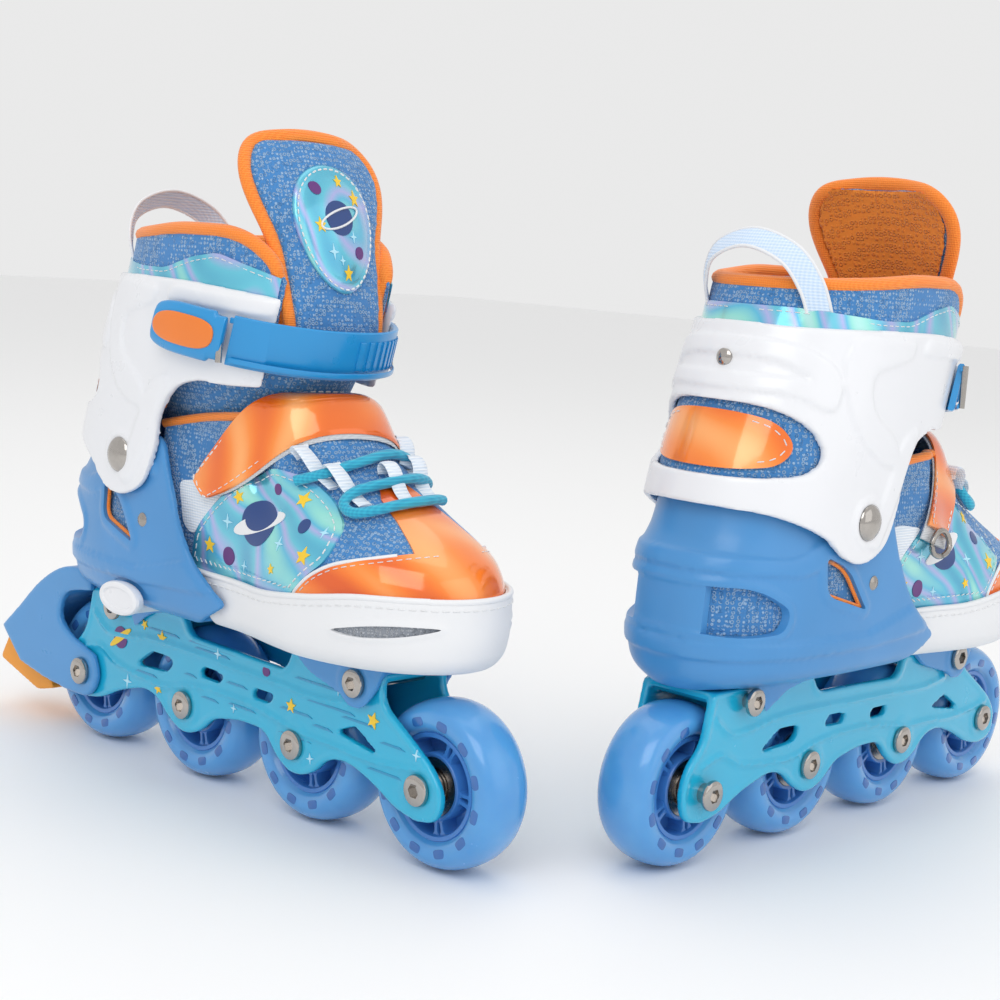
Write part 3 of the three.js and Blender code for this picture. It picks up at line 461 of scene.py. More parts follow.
finishes = {
    "frameBlue": plastic("frameBlue", (0.01, 0.46, 0.72), 0.24, 0.03, coat=0.6),
    "shellBlue": plastic("shellBlue", (0.065, 0.29, 0.64), 0.34, 0.1, coat=0.15),
    "white": plastic("cuffWhite", (0.82, 0.83, 0.86), 0.3, 0.05, coat=0.3, shade=0.96),
    "softWhite": plastic("toeWhite", (0.8, 0.81, 0.83), 0.46, 0.1, shade=0.97),
    "buckleBlue": plastic("buckleBlue", (0.012, 0.3, 0.68), 0.3, 0.05, coat=0.35),
    "buckleOrange": plastic("buckleOrange", (0.9, 0.22, 0.02), 0.32, 0.05, coat=0.3),
    "brakeBlue": plastic("brakeBlue", (0.06, 0.3, 0.66), 0.3, 0.05, coat=0.4),
    "ventMesh": knit("ventMesh", (0.3, 0.33, 0.38), (0.62, 0.65, 0.7), 0.0012, 0.8),
    "padOrange": plastic("padOrange", (0.93, 0.36, 0.035), 0.5, 0.2),
    "coreBlue": plastic("coreBlue", (0.05, 0.22, 0.62), 0.3, 0.05, coat=0.4),
    "tyre": urethane("tyreBlue", (0.1, 0.37, 0.73), (0.06, 0.28, 0.65)),
    "tyreDeep": urethane("tyreDeep", (0.035, 0.16, 0.48), (0.025, 0.12, 0.38)),
    "nickel": metal("nickel", (0.42, 0.39, 0.36), 0.24),
    "chrome": metal("chrome", (0.5, 0.47, 0.44), 0.14),
    "knitBlue": knit("knitBlue", (0.05, 0.24, 0.58), (0.55, 0.74, 0.92), 0.0017, 0.6),
    "knitOrange": knit("knitOrange", (0.98, 0.3, 0.03), (0.7, 0.16, 0.01), 0.0022, 0.55),
    # pearlBlue and pearlOrange carry painted iridescent sheen in their base colour, over the sheet's own
    # colour
    "pearlBlue": pearlyPaintedSheen("pearlBlue", [(0.1, (0.04, 0.32, 0.55)), (0.35, (0.12, 0.55, 0.7)),
                                      (0.5, (0.42, 0.45, 0.78)), (0.62, (0.1, 0.5, 0.72)),
                                      (0.74, (0.3, 0.75, 0.68)), (0.9, (0.62, 0.84, 0.86))]),
    "pearlOrange": pearlyPaintedSheen("pearlOrange", [(0.2, (0.78, 0.11, 0.005)), (0.45, (0.92, 0.19, 0.01)),
                                          (0.62, (0.96, 0.26, 0.03)), (0.85, (1.0, 0.42, 0.13))], 0.14, 20.0,
                                          0.15),
    "orangeTrim": woven("orangeTrim", (0.9, 0.2, 0.015), (0.98, 0.3, 0.03), 0.0009),
    "whiteWeb": woven("whiteWeb", (0.62, 0.72, 0.84), (0.9, 0.93, 0.96), 0.0011),
    "loopWeb": woven("loopWeb", (0.52, 0.68, 0.9), (0.74, 0.84, 0.96), 0.0012),
    "greyBack": woven("greyBack", (0.5, 0.52, 0.56), (0.66, 0.68, 0.7), 0.001),
    "lace": woven("laceBlue", (0.01, 0.3, 0.5), (0.03, 0.48, 0.66), 0.0013),
    "thread": woven("thread", (0.7, 0.72, 0.74), (0.9, 0.9, 0.9), 0.0006),
    "yellow": plastic("printYellow", (0.95, 0.62, 0.03), 0.35),
    "purple": plastic("printPurple", (0.13, 0.03, 0.2), 0.35),
    "stripe": plastic("printStripe", (0.008, 0.3, 0.55), 0.26, coat=0.5),
    "ink": plastic("printInk", (0.008, 0.05, 0.22), 0.3, coat=0.4),
    "glint": plastic("printPale", (0.45, 0.8, 0.95), 0.3),
}
print("finishes mixed:", len(finishes))


def addPiece(side, name, mesh, finish, body, slot, replaces=(), smooth=40, footOn=""):
    own = mesh.copy()
    own.name = side + "_" + name
    own.transform(places[side])
    if places[side].determinant() < 0:
        own.flip_normals()
    own.materials.clear()
    own.materials.append(finishes[finish])
    piece = bpy.data.objects.new(side + "_" + name, own)
    bpy.context.scene.collection.objects.link(piece)
    own.shade_smooth()
    if smooth:
        own.set_sharp_from_angle(angle=math.radians(smooth))
    if footOn:  # the piece is baked in place and attached to no body
        side + "_" + footOn
        side + "_" + body
        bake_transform(piece)
    else:
        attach(piece, side + "_" + body)
    if replaces:
        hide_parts(*[side + "_" + node for node in replaces])
    return piece


# The same piece on both skates, with what addPiece takes.
def bothSides(*given, **named):
    return [addPiece(side, *given, **named) for side in sides]


# ---- geometry nodes: copies round a ring, or along a path
def newTree(name, sockets):
    tree = bpy.data.node_groups.new(name, "GeometryNodeTree")
    tree.interface.new_socket("Geometry", in_out="INPUT", socket_type="NodeSocketGeometry")
    for label, kind, value in sockets:
        made = tree.interface.new_socket(label, in_out="INPUT", socket_type=kind)
        if value is not None:
            made.default_value = value
    tree.interface.new_socket("Geometry", in_out="OUTPUT", socket_type="NodeSocketGeometry")
    nodes = tree.nodes
    return tree, nodes.new("NodeGroupInput"), nodes.new("NodeGroupOutput")


def wire(tree, kind, links, **settings):
    node = tree.nodes.new(kind)
    for key, value in settings.items():
        setattr(node, key, value)
    for key, value in links.items():
        if hasattr(value, "is_output"):
            tree.links.new(value, node.inputs[key])
        else:
            node.inputs[key].default_value = value
    return node


def ringTree():
    tree, given, result = newTree("copiesRoundAxis", [
        ("Count", "NodeSocketInt", 5), ("Start", "NodeSocketFloat", 0.0),
        ("Centre", "NodeSocketVector", None),
        ("Material", "NodeSocketMaterial", None)])
    out = given.outputs
    line = wire(tree, "GeometryNodeMeshLine", {"Count": out["Count"], "Offset": (0.0, 0.0, 0.0)})
    points = wire(tree, "GeometryNodeMeshToPoints", {"Mesh": line.outputs[0]})
    index = wire(tree, "GeometryNodeInputIndex", {})
    share = wire(tree, "ShaderNodeMath", {0: index.outputs[0], 1: out["Count"]}, operation="DIVIDE")
    angle = wire(tree, "ShaderNodeMath", {0: share.outputs[0], 1: 2 * math.pi, 2: out["Start"]},
                 operation="MULTIPLY_ADD")
    turn = wire(tree, "ShaderNodeCombineXYZ", {"Y": angle.outputs[0]})
    copies = wire(tree, "GeometryNodeInstanceOnPoints",
                  {"Points": points.outputs[0], "Instance": out["Geometry"], "Rotation": turn.outputs[0]})
    real = wire(tree, "GeometryNodeRealizeInstances", {"Geometry": copies.outputs[0]})
    moved = wire(tree, "GeometryNodeTransform", {"Geometry": real.outputs[0], "Translation": out["Centre"]})
    coated = wire(tree, "GeometryNodeSetMaterial", {"Geometry": moved.outputs[0],
                                                    "Material": out["Material"]})
    tree.links.new(coated.outputs[0], result.inputs[0])
    return tree


# Copies of the piece's own mesh along the edge path of a second object, standing on its normals.
def pathTree():
    tree, given, result = newTree("copiesAlongPath", [
        ("Path", "NodeSocketObject", None), ("Spacing", "NodeSocketFloat", 3.0),
        ("Material", "NodeSocketMaterial", None)])
    out = given.outputs
    path = wire(tree, "GeometryNodeObjectInfo", {"Object": out["Path"]})
    curve = wire(tree, "GeometryNodeMeshToCurve", {"Mesh": path.outputs["Geometry"]})
    points = wire(tree, "GeometryNodeCurveToPoints", {"Curve": curve.outputs[0], "Length": out["Spacing"]},
                  mode="LENGTH")
    copies = wire(tree, "GeometryNodeInstanceOnPoints", {
        "Points": points.outputs["Points"], "Instance": out["Geometry"],
        "Rotation": points.outputs["Rotation"]})
    real = wire(tree, "GeometryNodeRealizeInstances", {"Geometry": copies.outputs[0]})
    coated = wire(tree, "GeometryNodeSetMaterial", {"Geometry": real.outputs[0], "Material": out["Material"]})
    tree.links.new(coated.outputs[0], result.inputs[0])
    return tree


def grown(mesh, tree, values):
    def build(item):
        step = item.modifiers.new("nodes", "NODES")
        step.node_group = tree
        for entry in tree.interface.items_tree:
            if entry.in_out == "INPUT" and entry.name in values:
                step[entry.identifier] = values[entry.name]

    return evaluated(mesh, build)


copiesRound, copiesAlong = ringTree(), pathTree()


def pathObject(points, closed=False):
    count = len(points)
    mesh = bpy.data.meshes.new("path")
    edges = [(i, (i + 1) % count) for i in range(count if closed else count - 1)]
    mesh.from_pydata([tuple(p) for p in points], edges, [])
    return tempObject(mesh)


def tube(points, radius, sidesCount=10, closed=False, flat=1.0, outward=None):
    p = np.array(points, float)
    n = len(p)
    ahead = np.roll(p, -1, 0) - np.roll(p, 1, 0)
    if not closed:
        ahead[0], ahead[-1] = p[1] - p[0], p[-1] - p[-2]
    ahead /= np.linalg.norm(ahead, axis=1)[:, None]
    guide = np.array([0.0, 0.0, 1.0]) if outward is None else None
    rings = []
    for i in range(n):
        up = np.array(outward[i], float) if guide is None else guide
        side = np.cross(ahead[i], up)
        if np.linalg.norm(side) < 1e-6:
            side = np.cross(ahead[i], (0.3, 0.9, 0.1))
        side /= np.linalg.norm(side)
        lift = np.cross(side, ahead[i])
        turns = [2 * math.pi * k / sidesCount for k in range(sidesCount)]
        rings.append([p[i] + radius * (math.cos(t) * side + flat * math.sin(t) * lift) for t in turns])
    if closed:
        rings.append(rings[0])
    return loft(rings)


def capsule(length, radius, flat=0.6):
    along = [(-0.5, 0.05), (-0.46, 0.6), (-0.36, 0.95), (0.36, 0.95), (0.46, 0.6), (0.5, 0.05)]
    turns = [2 * math.pi * k / 6 for k in range(6)]
    return loft([[(radius * s * math.cos(t), flat * radius * s * math.sin(t), a * length) for t in turns]
                 for a, s in along])


# ---- camera, floor and light
view = {"lens": 65.138, "stand": (557.1, -469.1, 226.8), "heading": (-0.6816, 0.7317), "down": 7.694,
        "roll": 4.184}


def addCamera():
    down, roll = math.radians(view["down"]), math.radians(view["roll"])
    ahead = Vector((*view["heading"], 0)).normalized() * math.cos(down) - Vector((0, 0, math.sin(down)))
    across = ahead.cross(Vector((0, 0, 1))).normalized()
    turn = Matrix((across, across.cross(ahead), -ahead)).transposed() @ Matrix.Rotation(roll, 3, "Z")
    data = bpy.data.cameras.new("camera")
    data.lens, data.sensor_width, data.clip_start, data.clip_end = view["lens"], 36.0, 0.01, 50.0
    camera = bpy.data.objects.new("camera", data)
    camera.matrix_world = Matrix.Translation(places["right"] @ Vector(view["stand"])) @ turn.to_4x4()
    bpy.context.scene.collection.objects.link(camera)
    bpy.context.scene.camera = camera


def addLight(name, at, towards, size, power):
    data = bpy.data.lights.new(name, "AREA")
    data.shape, data.size, data.energy = "SQUARE", size, power
    lamp = bpy.data.objects.new(name, data)
    lamp.location = at
    lamp.rotation_euler = (Vector(towards) - Vector(at)).to_track_quat("-Z", "Y").to_euler()
    bpy.context.scene.collection.objects.link(lamp)


studio = {"reach": 6.0, "floorDrop": 0.0004, "sky": 0.82}


def addStudio():
    reach = studio["reach"]
    floorMesh = meshFrom("floor", [(-reach, -reach, 0), (reach, -reach, 0), (reach, reach, 0),
                                   (-reach, reach, 0)], [(0, 1, 2, 3)])
    paint = Paint("paleFloor")
    floorMesh.materials.append(paint.finish(Base_Color=(0.93, 0.93, 0.93), Roughness=0.6))
    floor = bpy.data.objects.new("floor", floorMesh)
    floor.location.z = -studio["floorDrop"]
    bpy.context.scene.collection.objects.link(floor)
    world = bpy.data.worlds.new("studio")
    world.use_nodes = True
    world.node_tree.nodes["Background"].inputs[0].default_value = (1, 1, 1, 1)
    world.node_tree.nodes["Background"].inputs[1].default_value = studio["sky"]
    bpy.context.scene.world = world
    addLight("key", (0.9, -1.3, 1.5), (0, 0, 0.1), 1.2, 10)
    addLight("fill", (1.6, 0.3, 0.8), (0, 0, 0.1), 1.4, 3.5)
    addLight("top", (-0.3, 0.2, 2.0), (0, 0, 0), 1.6, 5)
    bpy.context.scene.view_settings.view_transform = "Standard"


addCamera()
addStudio()
print("camera and studio set")


# ---- more ways to make a piece
def moved(mesh, x=0.0, y=0.0, z=0.0):
    made = mesh.copy()
    made.transform(Matrix.Translation((x, y, z)))
    return made


def mirrored(mesh):
    made = mesh.copy()
    made.transform(Matrix.Scale(-1, 4, (0, 1, 0)))
    made.flip_normals()
    return made


def paired(mesh):
    return merged([mesh, mirrored(mesh)])


# A closed (radius, y) profile turned about the local y axis.
def turned(profile, steps=72, x=0.0, z=0.0):
    rings = []
    for i in range(steps + 1):
        t = 2 * math.pi * i / steps
        rings.append([(x + r * math.cos(t), y, z + r * math.sin(t)) for r, y in profile])
    return loft(rings, capped=False)


# A thin layer that follows a form between two stand-offs, cut to a side-view outline.
def patch(form, outline, span, inner, outer, low, high, cutters=()):
    return cutFrom(form(-outer, low, high), [form(-inner, low - 4, high + 4), *cutters],
                   keep=[prism(outline, *span)])


def surfaceOf(mesh):
    bm = bmesh.new()
    bm.from_mesh(mesh)
    tree = BVHTree.FromBMesh(bm)
    bm.free()
    return tree


# Side-view places carried along y onto a surface, standing off by lift.
def onSide(tree, places, sign, lift):
    out = []
    for x, z in places:
        hit, normal, _, _ = tree.ray_cast(Vector((x, sign * 140, z)), Vector((0, -sign, 0)))
        if hit:
            out.append(hit + normal * lift)
    return out


def even(points, spacing, closed=True):
    p = [Vector(q) for q in points] + ([Vector(points[0])] if closed else [])
    out, left = [p[0]], spacing
    for a, b in zip(p, p[1:]):
        length, along = (b - a).length, 0.0
        while length - along > left:
            along += left
            out.append(a.lerp(b, along / length))
            left = spacing
        left -= length - along
    return out


def stitches(points, spacing=3.2, length=2.2, radius=0.34, closed=True):
    path = pathObject(points, closed)
    made = grown(capsule(length, radius), copiesAlong,
                 {"Path": path, "Spacing": spacing, "Material": finishes["thread"]})
    bpy.data.objects.remove(path)
    return made


def shrunk(outline, by):
    points = np.array(outline, float)
    ahead = np.roll(points, -1, 0) - np.roll(points, 1, 0)
    ahead /= np.linalg.norm(ahead, axis=1)[:, None] + 1e-9
    area = np.sum(points[:, 0] * np.roll(points[:, 1], -1) - points[:, 1] * np.roll(points[:, 0], -1))
    normal = np.stack([-ahead[:, 1], ahead[:, 0]], 1) * (1 if area > 0 else -1)
    return [tuple(p) for p in points + normal * by]


def star(x, z, outer, inner, points=5, turn=0.3):
    return [(x + r * math.cos(t), z + r * math.sin(t)) for k in range(points * 2)
            for r, t in [((outer, inner)[k % 2], turn + math.pi * k / points)]]


def disc(x, z, rx, rz=None, tilt=0.0, count=28):
    rz = rz or rx
    out = []
    for k in range(count):
        u, v = rx * math.cos(2 * math.pi * k / count), rz * math.sin(2 * math.pi * k / count)
        out.append((x + u * math.cos(tilt) - v * math.sin(tilt), z + u * math.sin(tilt) + v * math.cos(tilt)))
    return out


# The lower half of a profile that is the same on both sides of the middle.
def below(half):
    return [(r, -y) for r, y in half[::-1]]


# ---- wheels, bearings and axles
wheelSizes = {"radius": 32.0, "half": 12.0, "core": 18.8, "windows": 12, "spokes": 5, "windowRadius": 24.4}


def addWheels():
    s = wheelSizes
    r = s["radius"]
    half = [(s["core"], 8.0), (20.3, 9.0), (21.2, 10.6), (22.6, 11.7), (25.6, s["half"]), (27.6, 11.6),
            (29.2, 10.2), (30.5, 8.2), (31.4, 5.6), (31.85, 2.8)]
    tyre = turned([*half, (r, 0), *below(half)], 96)
    pill = [(np.sign(math.cos(t)) * abs(math.cos(t)) ** 0.55, np.sign(math.sin(t)) * abs(math.sin(t)) ** 0.55)
            for t in evenTurns(20)]
    window = loft([[(s["windowRadius"] + u * 1.75 * k, y, v * 2.7 * k) for u, v in pill]
                   for y, k in ((11.2, 1.0), (11.98, 1.0), (12.06, 0.9))])
    windows = grown(window, copiesRound, {"Count": s["windows"], "Start": 0.2, "Centre": (0.0, 0.0, 0.0),
                                          "Material": finishes["tyreDeep"]})
    rimHalf = [(18.0, 8.8), (18.5, 9.5), (20.0, 9.6), (20.4, 9.0), (20.2, 8.0), (18.9, 7.4)]
    hubHalf = [(11.1, 9.0), (12.2, 9.2), (12.7, 8.6)]
    webHalf = [(12.5, 1.6), (14, 1.0), (17, 1.0), (18.4, 1.6)]
    rings = [turned([*half, *below(half)]) for half in (rimHalf, hubHalf, webHalf)]
    fin = loft([[(x, y, z * k) for x, z in ((12.4, -1.9), (13.6, -0.85), (16.6, -0.85), (18.2, -2.1),
                                            (18.2, 2.1), (16.6, 0.85), (13.6, 0.85), (12.4, 1.9))]
                for y, k in ((-8.2, 0.75), (-7.4, 1.0), (7.4, 1.0), (8.2, 0.75))])
    spokes = [grown(fin, copiesRound, {"Count": s["spokes"], "Start": start, "Centre": (0.0, 0.0, 0.0),
                                       "Material": finishes["coreBlue"]}) for start in (0.0, 0.2)]
    core = merged([*rings, *spokes])
    race = turned([(7.9, 5.3), (10.9, 5.3), (10.9, 9.1), (7.9, 9.1)], 56)
    shield = turned([(5.6, 8.3), (7.95, 8.55), (7.95, 8.2), (5.6, 8.0)], 56)
    inner = turned([(4.1, 5.3), (5.7, 5.3), (5.7, 9.3), (4.1, 9.3)], 48)
    spacer = turned([(4.1, 9.3), (6.6, 9.3), (6.6, 13.7), (4.1, 13.7)], 40)
    bearing = paired(merged([race, shield, inner, spacer]))
    for i, x in enumerate(wheelX, 1):
        bolt = boltMesh(20.2 if i == 1 else 17.0)
        for name, mesh, finish, body, slot, node, smooth in (
                ("tyre", tyre, "tyre", f"wheel_body_{i}", "wheel_urethane", "wheel", 60),
                ("tyre_windows", paired(windows), "tyreDeep", f"wheel_body_{i}", "wheel_urethane", "", 40),
                ("wheel_core", core, "coreBlue", f"wheel_body_{i}", "wheel_urethane", "", 40),
                ("bearing_pair", bearing, "nickel", "boot", "steel", "bearings", 40),
                ("axle_bolt", bolt, "chrome", "boot", "steel", "axle", 40)):
            nodes = [f"{node}_{i}"] if node else []
            bothSides(f"{name}_{i}", moved(mesh, x, 0, r), finish, body, slot, nodes, smooth)


# A cross bolt with a rounded head at each side and a hex socket in it.
def boltMesh(face, radius=6.0, shank=3.9):
    top = face + 2.4
    head = [(shank, face - 1.4), (shank, face + 0.3), (radius - 0.2, face + 0.3), (radius, face + 0.9),
            (radius - 0.3, top - 0.5), (radius - 1.1, top), (3.0, top)]
    hexagon = [(2.5 / math.cos(math.pi / 6) * math.cos(math.pi * k / 3),
                2.5 / math.cos(math.pi / 6) * math.sin(math.pi * k / 3))
               for k in range(6)]
    solid = turned(head[:-1] + [(0.001, top), (0.001, face - 1.4)], 48)
    end = cutFrom(solid, [prism(hexagon, face + 0.4, top + 1)])
    shaft = rod(0, 0, shank, -face + 1.2, face - 1.2, 32)
    return merged([shaft, end, mirrored(end)])


# ---- the frame that holds the wheels
frameSizes = {"inner": 14.0, "outer": 17.0, "deckFrom": 66.6, "deckTo": 70.0, "tieHalf": 14.5, "axleZ": 32.0}
rearBolt, frontBolt = (-83, 65), (72, 65)
plateOutline = filleted([
    (-104, 70, 3), (-108, 50, 8), (-116, 43, 5), (-119, 33, 9), (-116, 22, 9), (-105.5, 19.8, 6),
    (-94, 22, 6), (-82, 28, 8), (-64, 33, 8), (-54, 31.5, 6), (-45, 24, 6), (-35, 19.6, 8), (-24, 23, 6),
    (-16, 30.5, 8), (2, 34, 12), (18, 33.5, 8), (25, 25, 6), (35.5, 19.6, 8), (47, 23, 6), (55, 31, 8),
    (66, 33, 8), (80, 29, 8), (94, 22, 6), (105.5, 19.8, 6), (116, 22, 9), (118.5, 32, 9), (112, 41, 6),
    (100, 49, 10), (84, 59, 5), (83, 70, 2), (32, 70, 3), (28.5, 60.5, 7), (-33, 62, 9), (-38, 70, 3)])
plateWindows = [
    [(-70.5, 42, 3), (-58, 50.5, 4), (-43.5, 49, 3), (-47, 43.5, 3)],
    [(-26, 46.5, 2), (-24, 50.5, 2), (-10, 50, 2), (-12.5, 46, 2)],
    [(59, 43, 2.5), (70, 47.5, 3), (85, 39, 2.5)],
    [(8, 45, 2), (10, 49, 2), (22, 49, 2), (20, 45, 2)]]
ridges = [
    [(-108, 42), (-96, 45), (-84, 40), (-66, 37.5), (-48, 37), (-30, 41), (-8, 42.5), (14, 41.5), (36, 38),
     (56, 37.5), (76, 36.5), (96, 38), (108, 40)],
    [(-102, 60), (-92, 53), (-80, 52.5), (-62, 55), (-40, 55.5), (-20, 54.8), (4, 54.6), (28, 54), (50, 53.5),
     (68, 56)]]


def addFrame():
    s = frameSizes
    plate = prism(plateOutline, s["inner"], s["outer"])
    holes = [prism(filleted(w), s["inner"] - 2, s["outer"] + 3) for w in plateWindows]
    plate = cutFrom(plate, holes)
    rims = [tube([(x, s["outer"] - 0.1, z) for x, z in throughPoints(line, 60)], 1.0, 10,
                 outward=[(0, 1, 0)] * 60) for line in ridges]
    edge = shrunk(plateOutline, 1.3)
    rims.append(tube([(x, s["outer"] - 0.35, z) for x, z in edge], 1.0, 8, True,
                     outward=[(0, 1, 0)] * len(edge)))
    collars = [turned([(6.9, s["outer"] - 1), (6.9, s["outer"] + 0.35), (9.6, s["outer"] + 0.35),
                       (10.2, s["outer"] - 1)], 48, x, s["axleZ"])
               for x in wheelX[1:]]
    inside = [turned([(5.2, s["inner"] + 1), (5.2, s["inner"] - 0.2), (9, s["inner"] - 0.2),
                      (9.6, s["inner"] + 1)], 40, x, s["axleZ"])
              for x in wheelX]
    deckHalf = s["inner"] + 1
    decks = [box(x0, x1, -deckHalf, deckHalf, s["deckFrom"], s["deckTo"])
             for x0, x1 in ((-104, -39), (31, 83))]
    ties = [box(x, x + 3, -s["tieHalf"], s["tieHalf"], 64.5, 68) for x in (-100, -45, 34)]
    body = merged([paired(merged([plate, *rims, *collars, *inside])), *decks, *ties])
    bothSides("frame_moulding", moulded(body, 0.85, 3), "frameBlue", "boot", "frame_plastic", ["frame"], 50)
    for name, x, z in (("rear_mount_bolt", *rearBolt), ("front_mount_bolt", *frontBolt)):
        node = "rear_frame_bolt" if x < 0 else "front_frame_bolt"
        bothSides(name, moved(boltMesh(20.2, 5.6, 2.9), x, 0, z), "chrome", "boot", "steel", [node])


# Printed shapes on the lateral plate: stars, a ringed globe, sparkles and fine lines.
def addFramePrints():
    def inked(shapes, proud):
        return merged([prism(shape, -17.0 - proud, -16.6) for shape in shapes])
    stars = [star(-52, 57, 3.4, 1.4), star(-53, 35, 2.6, 1.1, turn=0.7), star(80, 52, 3.4, 1.5, turn=0.1),
             star(33, 47, 3.0, 1.3), star(-64.5, 60.5, 2.4, 1.0, turn=0.9)]
    sparkles = [star(-75, 33.5, 3.2, 0.8, 4, 0), star(-14, 58, 2.6, 0.7, 4, 0), star(60, 60, 3.0, 0.8, 4, 0),
                star(104, 44.5, 2.2, 0.6, 4, 0), star(46, 29, 2.2, 0.6, 4, 0.2), star(-2, 38, 1.8, 0.5, 4, 0)]
    globe = [disc(-81.5, 51.5, 4.8), disc(17, 57.5, 2.2)]
    ring = [disc(-81.5, 51.5, 8.6, 1.6, 0.6)]
    lines = [[(x, z), (x + length, z - 0.2), (x + length - 3, z + 0.75), (x + 2, z + 0.75)]
             for x, z, length in
             ((-60, 54.6, 12), (-62, 59.4, 22), (-34, 59.4, 42), (-30, 57.4, 24), (-36, 45.2, 9),
              (-8, 47.6, 14), (26, 45, 20), (34, 58.6, 26), (42, 51.4, 28), (46, 42.4, 12), (84, 44.6, 14),
              (-42, 34.4, 12), (-6, 39.2, 18), (26, 35.2, 20), (78, 33.4, 20), (-70, 39.4, 16),
              (-24, 38.0, 12), (62, 49.4, 18))]
    for name, shapes, finish, proud in (  # each colour stands a little prouder than the one it crosses
            ("frame_lines", lines, "stripe", 0.3), ("frame_globes", globe, "purple", 0.36),
            ("frame_stars", stars, "yellow", 0.42), ("frame_sparkles", sparkles, "glint", 0.42),
            ("frame_rings", ring, "yellow", 0.48)):
        bothSides(name, inked(shapes, proud), finish, "boot", "frame_plastic")


addWheels()
print("wheels on their axles")
addFrame()
addFramePrints()
print("frame moulded and printed")


# ---- heel shell with the sole, its windows and the lugs that hold the frame
button = {"x": -46, "z": 77.7, "stemZ": 74.6}
heelSizes = {"wall": 2.8, "floor": 79.5, "lugIn": 17.4, "lugOut": 20.2, "split": -5.0}
heelOutline = filleted([
    (-130, 68, 4), (-130, 144, 2), (-86, 144, 4), (-62, 146.5, 6), (-38, 147, 6), (-28.5, 145, 5),
    (-24, 131, 14), (-14, 110, 14), (-5, 99, 12), (15, 85, 4), (9, 81.5, 3), (-3, 75, 6), (-20, 70.5, 8),
    (-47, 69.5, 6), (-60, 66, 5), (-70, 58, 6), (-83, 55.5, 8), (-97, 59.5, 6), (-106, 66, 6)])
sideWindow = filleted([(-68.5, 123, 3), (-67.5, 108, 5), (-43, 101, 2.5), (-55.5, 118, 6)])
cornerWindow = filleted([(-124, 112, 5), (-100, 112, 10), (-85.5, 103.5, 6), (-88, 95, 7), (-104, 93, 8),
                         (-124, 95, 5)])


def addHeel():
    s = heelSizes
    cavity = cutFrom(heelForm(s["wall"], 70, 151), [box(-130, s["split"], -60, 60, 60, s["floor"])])
    ledge = patch(heelForm, filleted([(-130, 84, 1), (-130, 90, 1), (-40, 91, 2), (-8, 99, 2), (6, 88.6, 2),
                                      (-36, 86, 3)]), bootWide, -0.3, 1.4, 56, 100)
    brow = patch(heelForm, shrunk(sideWindow, -3.2), bootWide, -0.3, 0.8, 90, 135)
    corner = patch(heelForm, shrunk(cornerWindow, -2.6), bootWide, -0.3, 0.8, 85, 120)
    crest = patch(heelForm, filleted([(-122, 118, 2), (-122, 124, 2), (-84, 122, 6), (-66, 131, 6),
                                      (-34, 137, 4), (-30, 131, 4), (-58, 127, 6), (-76, 116, 8)]),
                  bootWide, -0.3, 1.1, 110, 140)
    slot = box(-130, 40, -s["lugIn"], s["lugIn"], 50, 70.4)
    sideCuts = [prism(sideWindow, *span) for span in ((-60, -25), (25, 60))]
    corners = [prism(cornerWindow, *span) for span in ((-60, -16), (16, 60))]
    shell = cutFrom(heelForm(0, 56, 148, 128), [cavity, slot], keep=[prism(heelOutline, *bootWide)])
    recess = turned([(0.001, 22.4), (7.6, 22.4), (7.6, 40), (0.001, 40)], 40, *rearBolt)
    whole = cutFrom(shell, [recess, mirrored(recess), rod(button["x"], 79, 4.4, -60, -20)])
    extra = [cutFrom(layer, [prism(sideWindow, *bootWide), prism(cornerWindow, *bootWide),
                             rod(button["x"], button["stemZ"], 8, -60, -20)])
             for layer in (ledge, brow, corner, crest)]
    bed = prism(disc(button["x"], button["z"], 14.3, 8.0), -60, -39.2)  # room for the pressed button
    body = cutFrom(moulded(merged([whole, *extra]), 0.95, 4), [*sideCuts, *corners, bed])
    bothSides("heel_shell_moulding", body, "shellBlue", "boot", "shell_plastic", ["heel_shell"], 38)
    piping = [onSide(surfaceOf(heelForm(1.6, 90, 135)), shrunk(sideWindow, 0.6), sign, 0.0)
              for sign in (-1, 1)]
    bothSides("heel_window_piping", merged([tube(p, 0.8, 8, True, outward=[(0, 1, 0)] * len(p))
                                            for p in piping]),
              "orangeTrim", "boot", "shell_plastic")
    lug = prism(filleted([(33, 76, 2), (35, 71, 3), (44, 64, 8), (60, 60, 5), (72, 56.6, 6), (82, 62, 5),
                          (88, 76, 3)]), s["lugIn"], s["lugOut"])
    pad = turned([(6.8, s["lugOut"] - 1), (6.8, s["lugOut"] + 0.6), (9.4, s["lugOut"] + 0.6),
                  (10, s["lugOut"] - 1)], 40, *frontBolt)
    bridge = box(35, 86, -s["lugOut"] + 0.4, s["lugOut"] - 0.4, 70.4, 73.6)
    neck = box(50, 75, -12, 12, 72, 78.5)
    plate = box(s["split"] - 10, 85, -26, 26, 77, s["floor"])
    mount = moulded(merged([paired(merged([lug, pad])), bridge, neck, plate]), 0.95, 3)
    bothSides("front_mount_moulding", mount, "shellBlue", "boot", "shell_plastic")
    small = turned([(0.001, 0.9), (2.2, 0.75), (2.9, 0.1), (2.9, -0.6), (0.001, -0.6)], 28)
    hit = onSide(surfaceOf(heelForm(0, 90, 140)), [(-38, 111)], -1, 0)[0]
    stud = small.copy()
    stud.transform(Matrix.Translation(hit) @ Matrix.Rotation(math.pi, 4, "X"))
    bothSides("heel_side_rivet", merged([stud, mirrored(stud)]), "nickel", "boot", "steel")


# ---- toe shell with its rolled lip, stitched edge and side vents
toeSizes = {"wall": 2.6, "rear": -19.5, "floor": 74.0}
toeEdge = [(-19.5, 96.4), (2, 95.2), (31, 95.2), (63, 98.6), (90, 102.4), (112, 102.8), (120, 101)]


